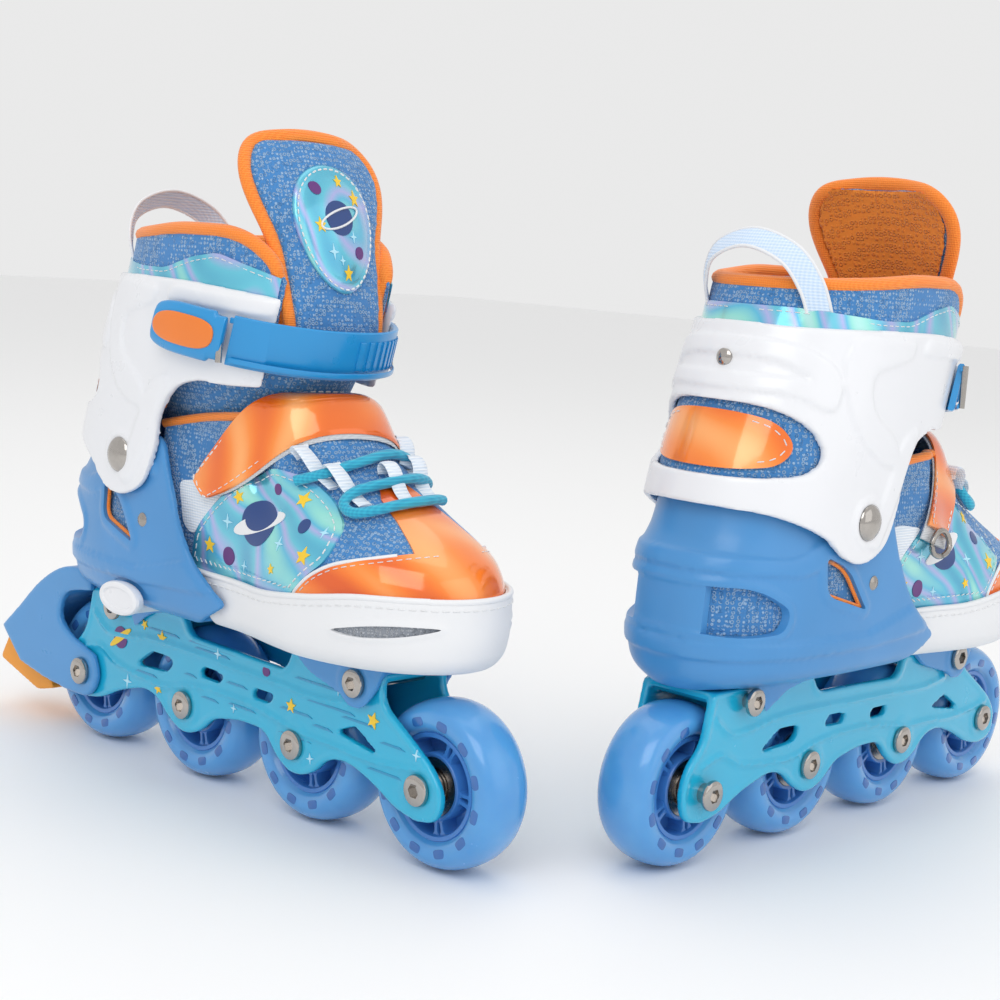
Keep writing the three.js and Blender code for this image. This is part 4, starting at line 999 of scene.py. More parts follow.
def addToeShell():
    s = toeSizes
    above = prism([*toeEdge, (140, 100), (140, 140), (-19.5, 140)], *footWide)
    rear = prism([(-90, 60), (-90, 140), (s["rear"], 140), (s["rear"], 79.9), (-1, 79.9), (-1, 60)],
                 *footWide)
    shell = cutFrom(toeForm(0, s["floor"], 106), [toeForm(s["wall"], s["floor"] + s["wall"], 110), above,
                                                  rear, box(-90, 75.4, -12.4, 12.4, 60, 79.5)])
    vent = [(78, 88.6), (86, 90.8), (94, 92.2), (103, 92.9), (111, 92.4), (104, 89.6), (95, 87.9), (86, 87.4)]
    vent = [tuple(p) for p in throughPoints(vent, 40, True)]
    frameIn = patch(toeForm, shrunk(vent, -1.2), toeWide, -0.4, 0.5, 80, 100)
    body = cutFrom(moulded(merged([shell, frameIn]), 0.9, 4),
                   [patch(toeForm, vent, toeWide, -1.4, 3, 82, 99)])
    bothSides("toe_shell_moulding", body, "softWhite", "toe_body", "shell_plastic", ["toe_shell"], 40)
    mesh = patch(toeForm, shrunk(vent, -0.3), toeWide, -1.8, -1.0, 80, 100)
    bothSides("toe_vent_mesh", mesh, "ventMesh", "toe_body", "mesh_fabric")
    z0 = [between(toeEdge, x)[0] for x in np.linspace(-19, 112, 60)]
    edge = list(zip(np.linspace(-19, 112, 60), z0))
    skin, low = surfaceOf(toeForm(0, 80, 106)), surfaceOf(toeForm(0.2, 80, 106))
    def around(tree, drop, lift):
        sideOne = onSide(tree, [(x, z - drop) for x, z in edge], -1, lift)
        front = []
        for y in np.linspace(-20, 24, 16):
            hit, normal, _, _ = tree.ray_cast(Vector((150, y, 102.6 - drop)), Vector((-1, 0, 0)))
            front.append(hit + normal * lift)
        other = onSide(tree, [(x, z - drop) for x, z in edge], 1, lift)
        return even([*[p for p in sideOne if p.x < 109], *front, *[p for p in other if p.x < 109][::-1]], 2.0,
                    False)
    lip = tube(around(low, 0.5, -0.5), 1.25, 10)
    bothSides("toe_lip", lip, "softWhite", "toe_body", "shell_plastic")
    bothSides("toe_stitches", stitches(around(skin, 3.6, 0.05), 4.0, 2.8, 0.4, False), "thread", "toe_body",
              "shell_plastic")


# ---- cuff, its pivots and the rear window
cuffSizes = {"wall": 3.0, "gapHalf": 28.6, "gapFrom": 12.0}
cuffOutline = [tuple(p) for p in throughPoints([
    (-126, 207), (-80, 208.5), (-40, 209), (-5, 208), (30, 204), (46, 199), (52, 192), (46, 174), (30, 171),
    (8, 169.6), (-8, 170), (-20, 165), (-27, 154), (-30, 140), (-37, 126), (-51, 119.8), (-64, 123),
    (-75, 131), (-95, 138.5), (-113, 141.2), (-126, 141.5)], 160, True)]
rearWindow = filleted([(-150, 153, 2), (-104, 152, 8), (-84, 154, 10), (-75, 160, 8), (-79, 170, 9),
                       (-92, 178.6, 9), (-110, 181, 6), (-150, 181, 2)])


def addCuff():
    s = cuffSizes
    shell = cutFrom(ankleForm(0, 117, 210, 128), [
        ankleForm(s["wall"], 112, 214), box(s["gapFrom"], 120, -s["gapHalf"], s["gapHalf"], 100, 240),
        prism(rearWindow, *bootWide), rod(forms["pivotX"], forms["pivotZ"], 4.5, -60, 60)],
        keep=[prism(cuffOutline, *bootWide)])
    swoops = [
        filleted([(-30, 205, 3), (-62, 207, 4), (-69, 196, 12), (-66, 176, 14), (-52, 160, 12), (-33, 156, 8),
                  (-37, 166, 10), (-55, 178, 12), (-56, 193, 9), (-32, 199, 4)]),
        filleted([(-20, 172, 4), (-32, 168, 6), (-40, 150, 8), (-51, 127, 6), (-44, 125, 4), (-33, 143, 8),
                  (-26, 160, 6)]),
        filleted([(-132, 186, 2), (-86, 184, 6), (-73, 176, 8), (-68, 192, 10), (-84, 203, 8), (-132, 205, 2),
                  (-132, 199, 2), (-90, 197, 6), (-78, 189, 5), (-90, 189.6, 5), (-132, 192, 2)]),
        filleted([(28, 203, 2), (-20, 206.4, 4), (-24, 200.6, 3), (26, 197.6, 2)])]
    raised = [patch(ankleForm, outline, bootWide, -0.5, 1.25, 118, 209,
                    [box(s["gapFrom"], 120, -s["gapHalf"], s["gapHalf"], 100, 240)]) for outline in swoops]
    seat = turned([(7.6, 42.8), (7.6, 44.0), (9.6, 44.0), (10.6, 42.6)], 48, forms["pivotX"], forms["pivotZ"])
    body = moulded(merged([shell, *raised, paired(seat)]), 0.95, 5)
    body = cutFrom(body, [rod(forms["pivotX"], forms["pivotZ"], 4.4, -60, 60), heelForm(-0.35, 100, 148)])
    bothSides("cuff_moulding", body, "white", "cuff_body", "white_plastic", ["cuff"], 40)
    face = 43.8
    dome = turned([(0.001, face + 2.6), (3.2, face + 2.45), (5.6, face + 1.6), (6.9, face + 0.5), (7.1, face),
                   (4, face), (4, 36), (0.001, 36)], 56,
                  forms["pivotX"], forms["pivotZ"])
    bothSides("pivot_rivet_medial", dome, "chrome", "boot", "steel", ["medial_pivot_rivet"])
    bothSides("pivot_rivet_lateral", mirrored(dome), "chrome", "boot", "steel", ["lateral_pivot_rivet"])
    stud = turned([(0.001, 1.5), (2.4, 1.2), (3.4, 0.2), (3.4, -0.8), (0.001, -0.8)], 32)
    stud.transform(Matrix.Rotation(math.pi / 2, 4, "Z"))
    at = surfaceOf(ankleForm(0, 180, 205)).ray_cast(Vector((-160, 0, 195)), Vector((1, 0, 0)))[0]
    stud.transform(Matrix.Translation(at + Vector((-0.6, 0, 0))))
    bothSides("cuff_rear_rivet", stud, "chrome", "cuff_body", "steel")
    badgeLine = filleted([(-150, 155, 2), (-106, 154.5, 8), (-92, 157, 9), (-85.5, 164, 8), (-90, 173, 9),
                          (-104, 178, 8), (-150, 178.6, 2)])
    badge = patch(ankleForm, badgeLine, bootWide, -3.5, -2.2, 150, 184)
    bothSides("rear_badge", badge, "pearlOrange", "cuff_body", "patent_fabric")
    tree, line = surfaceOf(ankleForm(2.15, 150, 184)), [p for p in shrunk(badgeLine, 2.2) if p[0] > -97]
    runs = [stitches(onSide(tree, line, sign, 0), 4.2, 2.8, 0.42, False) for sign in (-1, 1)]
    bothSides("rear_badge_stitches", merged(runs), "thread", "cuff_body", "patent_fabric")


# ---- size button and heel brake
def addButtonAndBrake():
    cap = loft([[(button["x"] + rx * math.cos(t), y, button["z"] + rz * math.sin(t)) for t in evenTurns(48)]
                for y, rx, rz in ((-41.2, 12.9, 6.6), (-43.6, 13.4, 7.0), (-44.7, 12.9, 6.6),
                                  (-45.2, 11.7, 5.6), (-45.2, 10.4, 4.6), (-44.5, 9.6, 4.0))])
    stem = rod(button["x"], button["stemZ"], 4.0, -42, -24)
    bothSides("size_button_cap", merged([cap, stem]), "white", "button_body", "white_plastic",
              ["size_button"], 35)
    x, z = wheelX[0], 32.0
    outline = [*throughPoints([(x + 4, z + 46), (x - 18, z + 43.5), (x - 36, z + 34), (x - 52, z + 20),
                               (x - 66, z + 8)], 24), (x - 50, z - 6),
               *throughPoints([(x - 30, z - 9.6), (x - 4, z - 11.5), (x + 7, z - 9), (x + 11.5, z),
                               (x + 8, z + 8.5)], 16),
               *throughPoints([(x - 8, z + 13), (x - 19, z + 20), (x - 15, z + 32), (x + 4, z + 36.5)], 18)]
    arm = cutFrom(prism(outline, -20.2, 20.2), [
        rod(x, z, 35, -17, 17), box(x - 14, x + 40, -17.4, 17.4, 0, 200), rod(x, z, 4.3, -40, 40),
        heelForm(-0.4, 56, 147)])
    hollow = prism(shrunk(outline, 4.2), 15.6, 22)
    arm = cutFrom(arm, [cutFrom(hollow, [box(x - 20, x + 30, 0, 40, 0, 57)])])
    addPiece("right", "brake_arm_moulding", moulded(arm, 0.85, 4), "brakeBlue", "boot", "frame_plastic",
             ["brake_arm"], 40)
    pad = prism(filleted([(x - 66.2, z + 7.6, 1.5), (x - 76, z - 10, 2.5), (x - 44, z - 19, 3),
                          (x - 26, z - 14.4, 3), (x - 50, z - 6.4, 2)]), -14, 14)
    pad = moulded(cutFrom(pad, [rod(x, z, 35, -30, 30)]), 0.8, 4)
    addPiece("right", "brake_block", pad, "padOrange", "boot", "pad_rubber", ["brake_pad"], 40)


# ---- the buckle: a ribbed band round the front and a lever over it
buckleSizes = {"bandHeight": 19.0, "leverFrom": -26.2, "leverTo": 8.0, "bandFrom": 10.0, "bandTo": 12.0,
               "ribs": 11, "ribsFrom": 38.6, "pinHalf": 8.6,
               "middle": 187.0, "rise": 1.8, "slope": 0.13}


def turnAt(x, sign, z=buckleSizes["middle"]):
    turns = np.linspace(0, math.pi, 721) * sign
    return float(turns[int(np.argmin(np.abs(ankleRing(z, 0, turns)[:, 0] - x)))])


def bandPoint(turn, off, up):
    s = buckleSizes
    x = ankleRing(s["middle"], 0, np.array([turn]))[0][0]
    z = s["middle"] + s["rise"] - s["slope"] * x + up
    return ankleRing(z, -off, np.array([turn]))[0]


def band(start, stop, steps, near, far, height, taper=0.7):
    rings = []
    for k in range(steps + 1):
        share = k / steps
        turn, h = start + (stop - start) * share, height(share) / 2
        rings.append([bandPoint(turn, off, up) for off, up in
                      ((near, -h + taper), (near, h - taper), (near + taper, h), (far - taper, h),
                       (far, h - taper), (far, -h + taper), (far - taper, -h), (near + taper, -h))])
    return loft(rings)


def addBuckle():
    s = buckleSizes
    start, stop = turnAt(s["bandFrom"], -1), turnAt(s["bandTo"], 1)
    strap = band(start, stop, 64, 0.9, 3.4, lambda share: s["bandHeight"], 0.6)
    rail = band(start, stop, 64, 3.2, 4.0, lambda share: 2.2, 0.3)
    rails = [moved(rail, z=7.6), moved(rail, z=-7.6)]
    bothSides("buckle_band", merged([strap, *rails]), "buckleBlue", "strap_body", "buckle_plastic",
              ["buckle_strap"], 40)
    ribs, turn = [], turnAt(s["ribsFrom"], 1)
    step = (stop - turn) / (s["ribs"] + 1)
    for k in range(s["ribs"]):
        at = turn + step * k
        ribs.append(band(at, at + step * 0.45, 2, 3.2, 4.1, lambda share: 11.5, 0.35))
    bothSides("buckle_ribs", merged(ribs), "buckleBlue", "strap_body", "buckle_plastic")
    a, b = turnAt(s["leverFrom"], -1), turnAt(s["leverTo"], -1)

    def height(share):
        return 12.5 + 7.3 * (1 - abs(2 * min(share, 0.5) - 1) ** 3) ** 0.5 if share < 0.84 else 17.0
    lever = band(a, b, 40, 2.4, 7.0, height, 1.3)
    bothSides("lever_moulding", subdivided(lever, 1), "buckleBlue", "lever_body", "buckle_plastic",
              ["buckle_lever"], 50)
    inlay = band(a + (b - a) * 0.03, a + (b - a) * 0.88, 30, 6.4, 7.6,
                 lambda share: 2.4 + 9.8 * (1 - abs(2 * share - 1) ** 3) ** 0.5, 0.5)
    bothSides("lever_inlay", subdivided(inlay, 1), "buckleOrange", "lever_body", "buckle_plastic")
    base = band(turnAt(-14, -1), turnAt(3, -1), 20, 0.15, 1.9, lambda share: 16.5, 0.4)
    pin = rod(0, 0, 1.3, -s["pinHalf"], s["pinHalf"], 28)
    pin.transform(Matrix.Rotation(math.pi / 2, 4, "X"))
    posts = [moved(pin, x, y, s["middle"] + 0.4) for x, y in ((9.5, -43.0), (15.5, 40.2))]
    bothSides("lever_base", base, "buckleBlue", "cuff_body", "buckle_plastic")
    bothSides("buckle_pins", merged(posts), "chrome", "cuff_body", "steel")


addHeel()
print("heel shell and front mount moulded")
addToeShell()
addCuff()
print("toe shell and cuff moulded")
addButtonAndBrake()
addBuckle()
print("button, brake and buckle fitted")


# ---- the laced forefoot: knit base, patent toe cap, side badge and hook patch
upperSizes = {"wall": 2.4, "floor": 79.9, "rear": -36.0, "holeHalf": 25.8}
upperTop = [(-90, 150), (-36, 150), (-14, 155), (12, 158), (48, 158), (90, 180), (-90, 180)]
sideBadge = filleted([(-15, 94, 2), (-13, 110, 8), (-4, 120, 10), (11, 132, 8), (29, 141, 5), (44, 139, 8),
                      (59, 131, 6), (68, 123, 4), (69, 112, 4), (60, 104, 6), (54, 97, 2), (52, 93, 2)])
hookPatch = filleted([(-23, 129, 3), (-9, 131, 3), (6, 129, 3), (-6, 118, 4), (-14, 108, 4), (-20, 112, 4)])
toeCap = filleted([(56, 90, 1), (56, 98, 2), (62, 105, 5), (72, 111.5, 8), (94, 117.5, 8), (112, 121.5, 4),
                   (140, 124, 1), (140, 90, 1)])


def onTop(places, z0, z1):
    return loft([[(x, y, z) for x, y in places] for z in (z0, z1)])


def addUpper():
    s = upperSizes
    hole = loft([oval(z, -80, front, s["holeHalf"], 2.6, evenTurns(64))
                 for z, front in ((130, 22), (134, 21.4), (148, 19.3), (170, 16))])
    cuts = [upperForm(s["wall"], s["floor"] + 2, 170), prism(upperTop, *footWide),
            box(-130, s["rear"], -80, 80, 0, 300), box(-130, -12, -80, 80, 0, 85.5), hole]
    shell = moulded(cutFrom(upperForm(0, s["floor"], 166), cuts), 1.1, 5)
    bothSides("upper_knit", shell, "knitBlue", "toe_body", "mesh_fabric", ["upper"], 60)
    cap = patch(upperForm, toeCap, footWide, -0.1, 1.0, 82, 130)
    ridge = cutFrom(upperForm(-1.0, 96, 150), [upperForm(0.2, 90, 155), prism(toeCap, *footWide)], keep=[
        onTop([(62, -5), (68, -9), (80, -11.5), (92, -15), (108, -20), (125, -24), (125, 28), (108, 24),
               (92, 18), (80, 15), (68, 12), (62, 8)], 90, 152)])
    bothSides("toe_cap", merged([cap, ridge]), "pearlOrange", "toe_body", "patent_fabric")
    badge = patch(upperForm, sideBadge, lateral, -0.1, 0.9, 82, 150, [prism(toeCap, *footWide)])
    bothSides("side_badge", paired(badge), "pearlBlue", "toe_body", "patent_fabric")
    hook = patch(upperForm, hookPatch, lateral, -0.1, 0.75, 100, 140, [prism(sideBadge, *footWide)])
    bothSides("hook_patch", paired(hook), "whiteWeb", "toe_body", "strap_fabric")
    skin = surfaceOf(upperForm(-1.0, 82, 160))
    runs, pipes = [], []
    line = [p for p in even([(x, 0, z) for x, z in shrunk(sideBadge, 2.2)], 1.2) if p[2] > 99]
    capLine = [(x, z) for x, z in shrunk(toeCap, 1.8) if x < 116 and z > 99]
    edge = [(x, z) for x, z in toeCap if x < 92 and z > 97]
    for sign in (-1, 1):
        around = sorted([(p[0], p[2]) for p in line], key=lambda q: math.atan2(q[1] - 108, q[0] - 26),
                        reverse=True)
        runs.append(stitches(onSide(skin, around, sign, 0.05), 3.4, 2.3, 0.36, False))
        runs.append(stitches(onSide(skin, capLine, sign, 0.05), 3.4, 2.3, 0.36, False))
        pipes.append(onSide(skin, edge, sign, -0.2))
    bothSides("badge_stitches", merged(runs), "thread", "toe_body", "strap_fabric")
    bothSides("toe_cap_piping", merged([tube(even(p, 1.5, False), 0.75, 8) for p in pipes]), "softWhite",
              "toe_body", "patent_fabric")
    rim = [(-36, 150.2), (-25, 152.8), (-14, 155), (-2, 156.6), (12, 158), (22, 158.2)]
    top = surfaceOf(upperForm(1.0, 130, 165))
    binds = [tube(even(onSide(top, throughPoints(rim, 30), sign, 0.3), 1.5, False), 1.9, 10)
             for sign in (-1, 1)]
    bothSides("upper_binding", merged(binds), "orangeTrim", "toe_body", "strap_fabric", smooth=60)


# Stars, dots and a ringed globe printed on the side badges.
def addBadgePrints():
    layers = {
        "yellow": [star(-3, 106, 3.4, 1.5), star(14, 127.5, 3.0, 1.3, turn=0.8),
                   star(47, 131, 3.2, 1.4, turn=0.1), star(58, 112, 3.6, 1.6),
                   star(40, 104, 2.2, 1.0, turn=0.6)],
        "ink": [disc(26, 119, 9.2, 8.6), disc(52, 122, 2.6)],
        "purple": [disc(9, 103.5, 3.6), disc(33, 133, 2.2)],
        "glint": [star(8, 117, 3.2, 0.8, 4, 0), star(42, 114, 2.8, 0.7, 4, 0), star(62, 121, 2.2, 0.6, 4, 0),
                  star(20, 101.5, 2.2, 0.6, 4, 0), star(36, 124, 1.8, 0.5, 4, 0)],
    }
    for finish, shapes in layers.items():
        solid = merged([prism(shape, *lateral) for shape in shapes])
        made = cutFrom(upperForm(-1.16, 86, 145), [upperForm(-0.6, 82, 150)], keep=[solid])
        bothSides("badge_print_" + finish, paired(made), finish, "toe_body", "patent_fabric")
    ring = patch(upperForm, disc(26, 119, 14.5, 3.4, 0.35), lateral, 0.7, 1.3, 86, 145,
                 [prism(disc(26.8, 121.6, 8.4, 5.2, 0.35), *lateral)])
    bothSides("badge_print_ring", paired(ring), "softWhite", "toe_body", "patent_fabric")


footSkin = surfaceOf(upperForm(0, 80, 164))


def onUpper(x, degrees, stand):
    t = math.radians(degrees)
    out, heart = Vector((0, -math.cos(t), math.sin(t))), Vector((x, 0, 108))
    return footSkin.ray_cast(heart + out * 150, -out)[0] + out * stand


# ---- forefoot strap, lace and its loops
strapSizes = {"width": 22.0, "stand": 3.3, "backing": 0.8, "face": 1.2}
strapRoute = [(-8, 28), (4, 38), (18, 53), (30, 70), (36, 90), (35, 110), (28, 130), (18, 146), (12, 158)]


def strapPoint(share, w, stand):
    route = throughPoints(strapRoute, 121)
    i = min(max(int(share * 120), 0), 120)
    at, along = route[i], route[min(i + 1, 120)] - route[max(i - 1, 0)]
    along = along / np.linalg.norm(along)
    tip = min(1.0, math.sqrt(max(0.02, 1 - (1 - min(share / 0.1, 1.0)) ** 2)))
    return onUpper(at[0] + w * strapSizes["width"] * 0.5 * tip * along[1] * 1.0,
                   at[1] - w * 9 * tip * along[0], stand)


def strapLayer(near, far, widen, start, stop, steps=60):
    across = [-1, -0.9, -0.6, -0.3, 0, 0.3, 0.6, 0.9, 1]
    rings = []
    for k in range(steps + 1):
        share = start + (stop - start) * k / steps
        low = [strapPoint(share, w * widen, near) for w in across]
        high = [strapPoint(share, w * widen * (0.985 if abs(w) == 1 else 1), far - 0.3 * w**4)
                for w in across]
        rings.append(low + high[::-1])
    return loft(eased(np.array(rings, float), 4, 2))


# Evens out a run of points, or of rings of points, along its length.
def eased(run, reach, rounds=1):
    for _ in range(rounds):
        count = len(run)
        spread = [min(reach, i, count - 1 - i) for i in range(count)]
        run = np.array([run[i - r:i + r + 1].mean(axis=0) for i, r in enumerate(spread)])
    return run


def softened(run, reach):
    last = len(run) - 1
    near = range(-reach, reach + 1)
    return [sum((run[min(max(i + d, 0), last)] for d in near), Vector()) / len(near) for i in range(last + 1)]


def tabFacing(line):
    ahead = np.gradient(np.array(line, float), axis=0)
    return [Vector(np.cross(a, (0, 1, 0.001))) * -1 for a in ahead]


def addStrapAndLace():
    s = strapSizes
    bothSides("strap_backing", strapLayer(s["stand"], s["stand"] + s["backing"], 1.05, 0, 1), "greyBack",
              "toe_body", "strap_fabric", ["power_strap"], 50)
    bothSides("strap_face", strapLayer(s["stand"] + s["backing"], s["stand"] + s["backing"] + s["face"], 0.97,
                                       0.012, 0.93), "pearlOrange",
              "toe_body", "patent_fabric", smooth=50)
    top = s["stand"] + s["backing"] + s["face"]
    rows = [eased(np.array([strapPoint(0.03 + 0.88 * k / 60, w, top + 0.05) for k in range(61)], float), 5, 3)
            for w in (-0.8, 0.8)]
    bothSides("strap_stitches", stitches([*rows[0], *rows[1][::-1]], 3.4, 2.3, 0.36, True), "thread",
              "toe_body", "strap_fabric")
    crossings = [(42, 44), (51, 58), (54, 80), (52, 104), (49, 126), (54, 136), (60, 124), (64, 102),
                 (65, 78), (63, 56), (64, 44), (70, 42), (75, 56), (77, 84), (76, 108), (73, 128)]
    lace = [onUpper(x, t, 3.5) for x, t in throughPoints(crossings, 150)]
    bothSides("lace_run", tube(softened(lace, 2), 2.05, 12), "lace", "toe_body", "lace_fabric", ["lace"], 60)
    tabs = []
    for x, t, lean in ((41, 58, 3), (54, 60, 4), (61, 92, 0), (41, 122, -3), (54, 120, -4)):
        rise = [(-2.6, 1.2), (-3.4, 3.6), (-2.0, 6.2), (0.6, 6.9), (3.2, 5.6), (5.6, 2.6), (9, 1.1),
                (14, 0.9)]
        line = throughPoints([onUpper(x + d, t - lean * d / 10, up) for d, up in rise], 26)
        tabs.append(tube(line, 3.7, 10, flat=0.17, outward=tabFacing(line)))
    bothSides("lace_tabs", merged(tabs), "whiteWeb", "toe_body", "strap_fabric", smooth=60)
    loop = [onUpper(14 + 7.5 * math.sin(a), 159 + 7.0 * math.cos(a), 6.6) for a in np.linspace(0, 2 * math.pi,
        40, endpoint=False)]
    bothSides("strap_ring", tube(loop, 1.2, 8, True), "nickel", "toe_body", "steel", smooth=60)


# ---- padded inner boot: heel cup and footbed, collar and tongue
linerSizes = {"clear": 3.25, "inside": 8.2, "toeClear": 11.8, "floor": 79.9, "bedTop": 83.5, "cupTop": 137,
              "cupFront": -37}


def addLiner():
    s = linerSizes
    cup = cutFrom(heelForm(s["clear"], s["floor"], s["cupTop"]), [heelForm(s["inside"], 75, 140)],
                  keep=[box(-130, s["cupFront"], *bootWide, 79, 138)])
    bed = cutFrom(heelForm(s["clear"], s["floor"], s["bedTop"]), [],
                  keep=[box(-130, s["cupFront"], *bootWide, 70, 90)])
    front = cutFrom(toeForm(s["toeClear"], s["floor"], s["bedTop"]), [],
                    keep=[box(s["cupFront"] - 2, 86, *bootWide, 70, 90)])
    for piece in bothSides("liner_padding", moulded(merged([cup, bed, front]), 1.3, 4), "knitBlue", "boot",
                           "mesh_fabric", ["liner"], 60):
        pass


collarSizes = {"inset": 3.5, "wall": 5.9, "mouthHalf": 26.0, "mouthFrom": 6.0}
collarTop = [(-128, 223), (-80, 223.5), (-50, 225.5), (-20, 228), (0, 228), (12, 225.5), (21, 219.5),
             (28, 211), (34, 200), (70, 190)]
collarLow = [(-128, 149), (-80, 150), (-66, 155), (-34, 155), (-28, 167), (10, 174), (70, 174)]


def addCollar():
    s = collarSizes
    outline = [*collarTop, *collarLow[::-1]]
    mouth = box(s["mouthFrom"], 120, -s["mouthHalf"], s["mouthHalf"], 0, 400)
    wall = cutFrom(ankleForm(s["inset"], 146, 232, 128), [ankleForm(s["inset"] + s["wall"], 140, 240, 128),
                                                          mouth], keep=[prism(outline, *bootWide)])
    for piece in bothSides("collar_padding", moulded(wall, 1.25, 9), "knitBlue", "cuff_body", "mesh_fabric",
                           ["collar"], 60):
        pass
    lining = cutFrom(ankleForm(s["inset"] + s["wall"] - 0.7, 150, 227, 128),
                     [ankleForm(s["inset"] + s["wall"] + 0.35, 140, 240, 128), mouth],
                     keep=[prism(shrunk(outline, 1.6), *bootWide)])
    bothSides("collar_lining", lining, "knitOrange", "cuff_body", "mesh_fabric")
    turns = evenTurns(96)
    def sleeve(inset):
        top, foot = ankleRing(180, inset, turns), oval(148, -84 + inset, 21 - inset, 31.5 - inset, 2.4, turns)
        return [top * (1 - k / 12) ** 1.3 + foot * (1 - (1 - k / 12) ** 1.3) for k in range(13)]
    bothSides("ankle_sleeve", loft([*sleeve(6.4), *sleeve(8.6)[::-1]], capped=False, endless=True),
              "knitBlue", "cuff_body", "mesh_fabric", smooth=60, footOn="boot")
    path = []
    mid = s["inset"] + s["wall"] / 2 - 0.4
    start = 0.62
    for t in np.linspace(start, 2 * math.pi - start, 150):
        x, y, _ = ankleRing(226, mid, np.array([t]))[0]
        z = between(collarTop, x)[0] + 0.1
        x, y, _ = ankleRing(z, mid, np.array([t]))[0]
        if x > s["mouthFrom"] and abs(y) < s["mouthHalf"] + 1.2:
            continue
        path.append(Vector((x, y, z)))
    down = []
    for z in np.linspace(path[0].z - 2.5, 177, 20):
        turns = np.linspace(0.05, 1.3, 200)
        ring = ankleRing(z, mid, turns)
        pick = ring[int(np.argmin(np.abs(ring[:, 1] - s["mouthHalf"] - 0.8)))]
        down.append(Vector(pick))
    other = [Vector((p.x, -p.y, p.z)) for p in down]
    whole = even([*down[::-1], *path, *other], 2.2, False)
    bothSides("collar_binding", tube(softened(whole, 2), 3.6, 12, flat=0.8), "orangeTrim", "cuff_body",
              "strap_fabric", smooth=60)
    ribbon = [(-130, 203), (-130, 214.5), (-80, 215.5), (-48, 212.5), (-30, 212.5), (-14, 217.5), (1, 220),
              (21, 214), (44, 205.5), (60, 200), (60, 194), (30, 200), (-5, 204)]
    ribbon = filleted([(x, z, 4) for x, z in ribbon])
    wide = box(s["mouthFrom"], 120, -s["mouthHalf"] - 2.6, s["mouthHalf"] + 2.6, 0, 400)
    sewn = patch(ankleForm, ribbon, bootWide, -s["inset"] - 0.3, -s["inset"] + 0.95, 196, 224, [wide])
    bothSides("collar_ribbon", sewn, "pearlBlue", "cuff_body", "patent_fabric")
    skin = surfaceOf(ankleForm(s["inset"] - 0.95, 196, 226))
    line = [(x, z) for x, z in shrunk(ribbon, 1.7) if z > 204.5 and -105 < x < 30]
    bothSides("collar_stitches", merged([stitches(onSide(skin, line, sign, 0.05), 3.4, 2.3, 0.36, False)
                                         for sign in (-1, 1)]),
              "thread", "cuff_body", "strap_fabric")
    arch = throughPoints([(-71, -26, 212), (-77, -24.5, 224), (-82, -17, 235), (-84, 0, 240.4),
                          (-82, 17, 235), (-77, 24.5, 224), (-71, 26, 212)], 60)
    out = [Vector((-0.75, p[1] * 0.03, 0.12 + max(0, (p[2] - 225)) * 0.035)) for p in arch]
    bothSides("pull_loop", tube(arch, 4.9, 12, flat=0.15, outward=out), "loopWeb", "cuff_body",
              "strap_fabric", smooth=60)
    hems = [tube([Vector(p) + Vector(np.cross(a, b) / np.linalg.norm(np.cross(a, b))) * (edge * 4.6)
                  for p, a, b in
                  zip(arch, np.gradient(arch, axis=0), [np.array(o) for o in out])], 0.7, 8)
                  for edge in (-1, 1)]
    bothSides("pull_loop_hems", merged(hems), "softWhite", "cuff_body", "strap_fabric", smooth=60)


tongueSizes = {"foot": 176, "rise": 92, "badgeY": 1.0, "badgeZ": 232.0, "badgeHalf": 22.5, "badgeTall": 24.5}
tongueLevels = [(176, 20, 33), (194, 22, 32), (212, 24, 28.5), (225, 25.4, 24.8), (236, 29.5, 21),
                (245, 32.6, 17.6), (251, 33.2, 15.2), (257, 31.4, 12.6), (262, 27.4, 10.2), (266, 20.5, 8)]


def tongueFace(z, a, lift=0.0):
    half, front = between(tongueLevels, z)
    share = (z - tongueSizes["foot"]) / tongueSizes["rise"]
    return Vector((front - 6.5 * a * a * (0.35 + 0.65 * share) + lift, a * half, z))


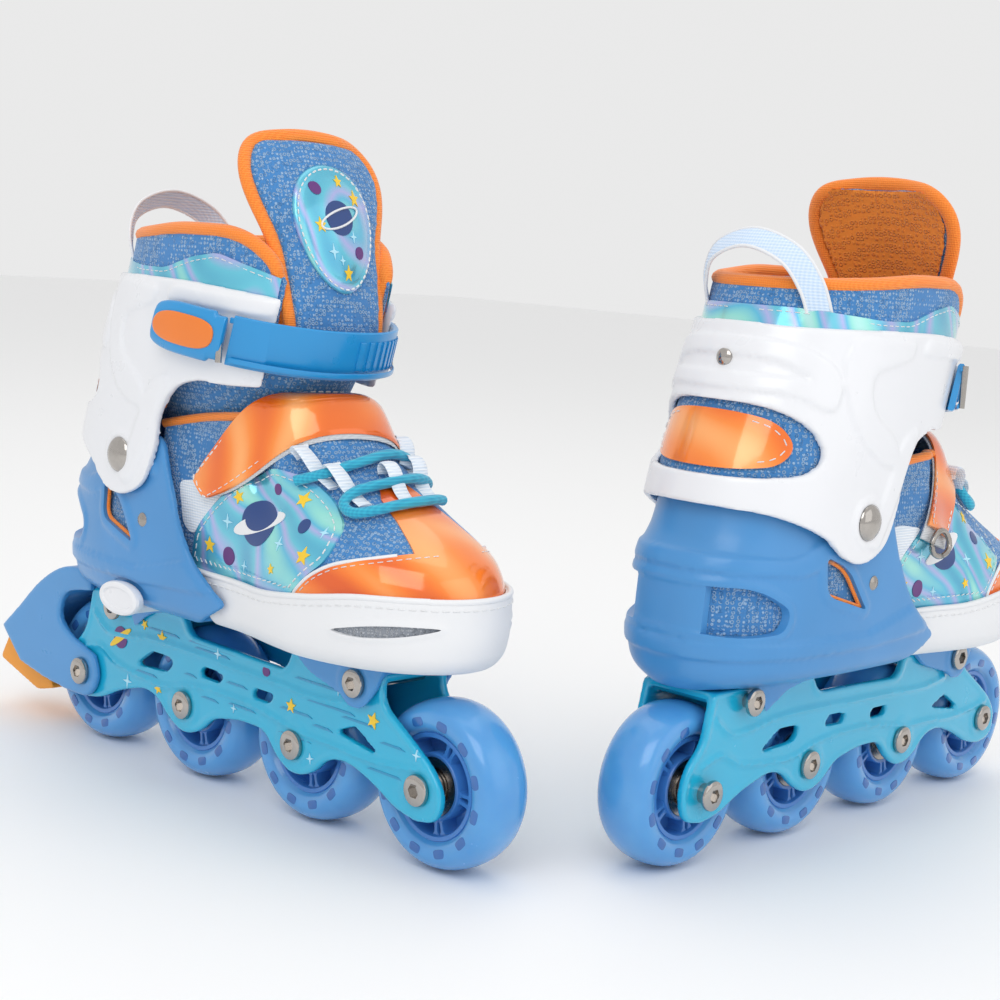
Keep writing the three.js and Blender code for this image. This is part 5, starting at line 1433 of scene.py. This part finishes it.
def addTongue():
    s = tongueSizes

    def sheet(near, far, inset, low, high):
        rings = []
        for z in stack(low, high, 1.6):
            thick = lambda a: 1 - 0.45 * abs(a) ** 3
            front = [tongueFace(z, a * inset, -near(z)) for a in np.linspace(-1, 1, 25)]
            back = [tongueFace(z, a * inset, -near(z) - (far(z) - near(z)) * thick(a))
                    for a in np.linspace(1, -1, 25)]
            rings.append(front + back)
        return loft(rings)
    deep = lambda z: 8 - 2 * (z - s["foot"]) / s["rise"]
    body = moulded(sheet(lambda z: 0.0, deep, 0.95, 176.5, 265), 1.2, 8)
    for piece in bothSides("tongue_padding", body, "knitBlue", "cuff_body", "mesh_fabric", ["tongue"], 60):
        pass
    lining = sheet(lambda z: deep(z) * 0.72, lambda z: deep(z) + 0.3, 0.9, 178, 264)
    bothSides("tongue_lining", moulded(lining, 1.1, 3), "knitOrange", "cuff_body", "mesh_fabric", smooth=60)
    side = [tongueFace(z, -1, -deep(z) * 0.42) for z in np.linspace(182, 264, 60)]
    over = [Vector((4.4, y, 265.2 + 1.6 * (1 - (y / 18) ** 2))) for y in np.linspace(-17, 17, 11)]
    rim = even([*side, *over, *[Vector((p.x, -p.y, p.z)) for p in side[::-1]]], 2.0, False)
    rim = softened(rim, 3)
    bothSides("tongue_binding", tube(rim, 3.0, 12, flat=0.7, outward=[(1, 0, 0.2)] * len(rim)), "orangeTrim",
              "cuff_body", "strap_fabric", smooth=60)

    def onBadge(u, v, lift):
        z = s["badgeZ"] + v * s["badgeTall"]
        y = s["badgeY"] + u * s["badgeHalf"] * (0.86 + 0.14 * v)
        return tongueFace(z, y / between(tongueLevels, z)[0], lift)

    rings = []
    for r, lift in ((0.98, -0.8), (1.0, 0.6), (0.97, 1.5), (0.92, 1.7), (0.86, 1.2), (0.8, 1.9), (0.6, 2.6),
                    (0.3, 3.0), (0.02, 3.1)):
        rings.append([onBadge(r * math.cos(t), r * math.sin(t), lift) for t in evenTurns(56)])
    bothSides("tongue_badge", loft(rings), "pearlBlue", "cuff_body", "patent_fabric", smooth=60)
    ring = [onBadge(0.93 * math.cos(t), 0.93 * math.sin(t), 1.75) for t in evenTurns(120)]
    bothSides("tongue_badge_stitches", stitches(ring, 3.0, 2.0, 0.42, True), "thread", "cuff_body",
              "strap_fabric")
    rise = lambda u, v: float(np.interp(math.hypot(u, v), [0, 0.3, 0.6, 0.8], [3.1, 3.0, 2.6, 1.9]))
    prints = {"ink": [disc(0, 0.18, 0.34, 0.27)], "purple": [disc(-0.42, 0.62, 0.12, 0.1),
                                                             disc(0.45, -0.35, 0.13, 0.1)],
              "yellow": [star(-0.5, 0.05, 0.13, 0.055), star(0.5, 0.5, 0.14, 0.06), star(0.05, -0.68, 0.14,
                  0.06), star(0.15, 0.75, 0.1, 0.045)],
              "glint": [star(-0.3, -0.35, 0.13, 0.035, 4, 0), star(0.3, -0.1, 0.1, 0.03, 4, 0),
                        star(-0.1, -0.48, 0.08, 0.025, 4, 0)]}
    for finish, shapes in prints.items():
        solids = [loft([[onBadge(u, v, rise(u, v) + lift) for u, v in shape] for lift in (-0.6, 0.28)])
                  for shape in shapes]
        bothSides("tongue_print_" + finish, merged(solids), finish, "cuff_body", "patent_fabric")
    halo = [onBadge(0.52 * math.cos(t) * math.cos(0.4) - 0.1 * math.sin(t),
                    0.18 + 0.52 * math.cos(t) * 0.3 + 0.1 * math.sin(t), 3.5 - 0.35 * math.cos(t) ** 2)
                    for t in evenTurns(60)]
    bothSides("tongue_print_ring", tube(halo, 0.45, 6, True), "softWhite", "cuff_body", "patent_fabric")


addUpper()
addBadgePrints()
addStrapAndLace()
print("upper, badges, strap and lace made")
addLiner()
addCollar()
addTongue()
print("padded collar, tongue and liner made")

print("sizes written")
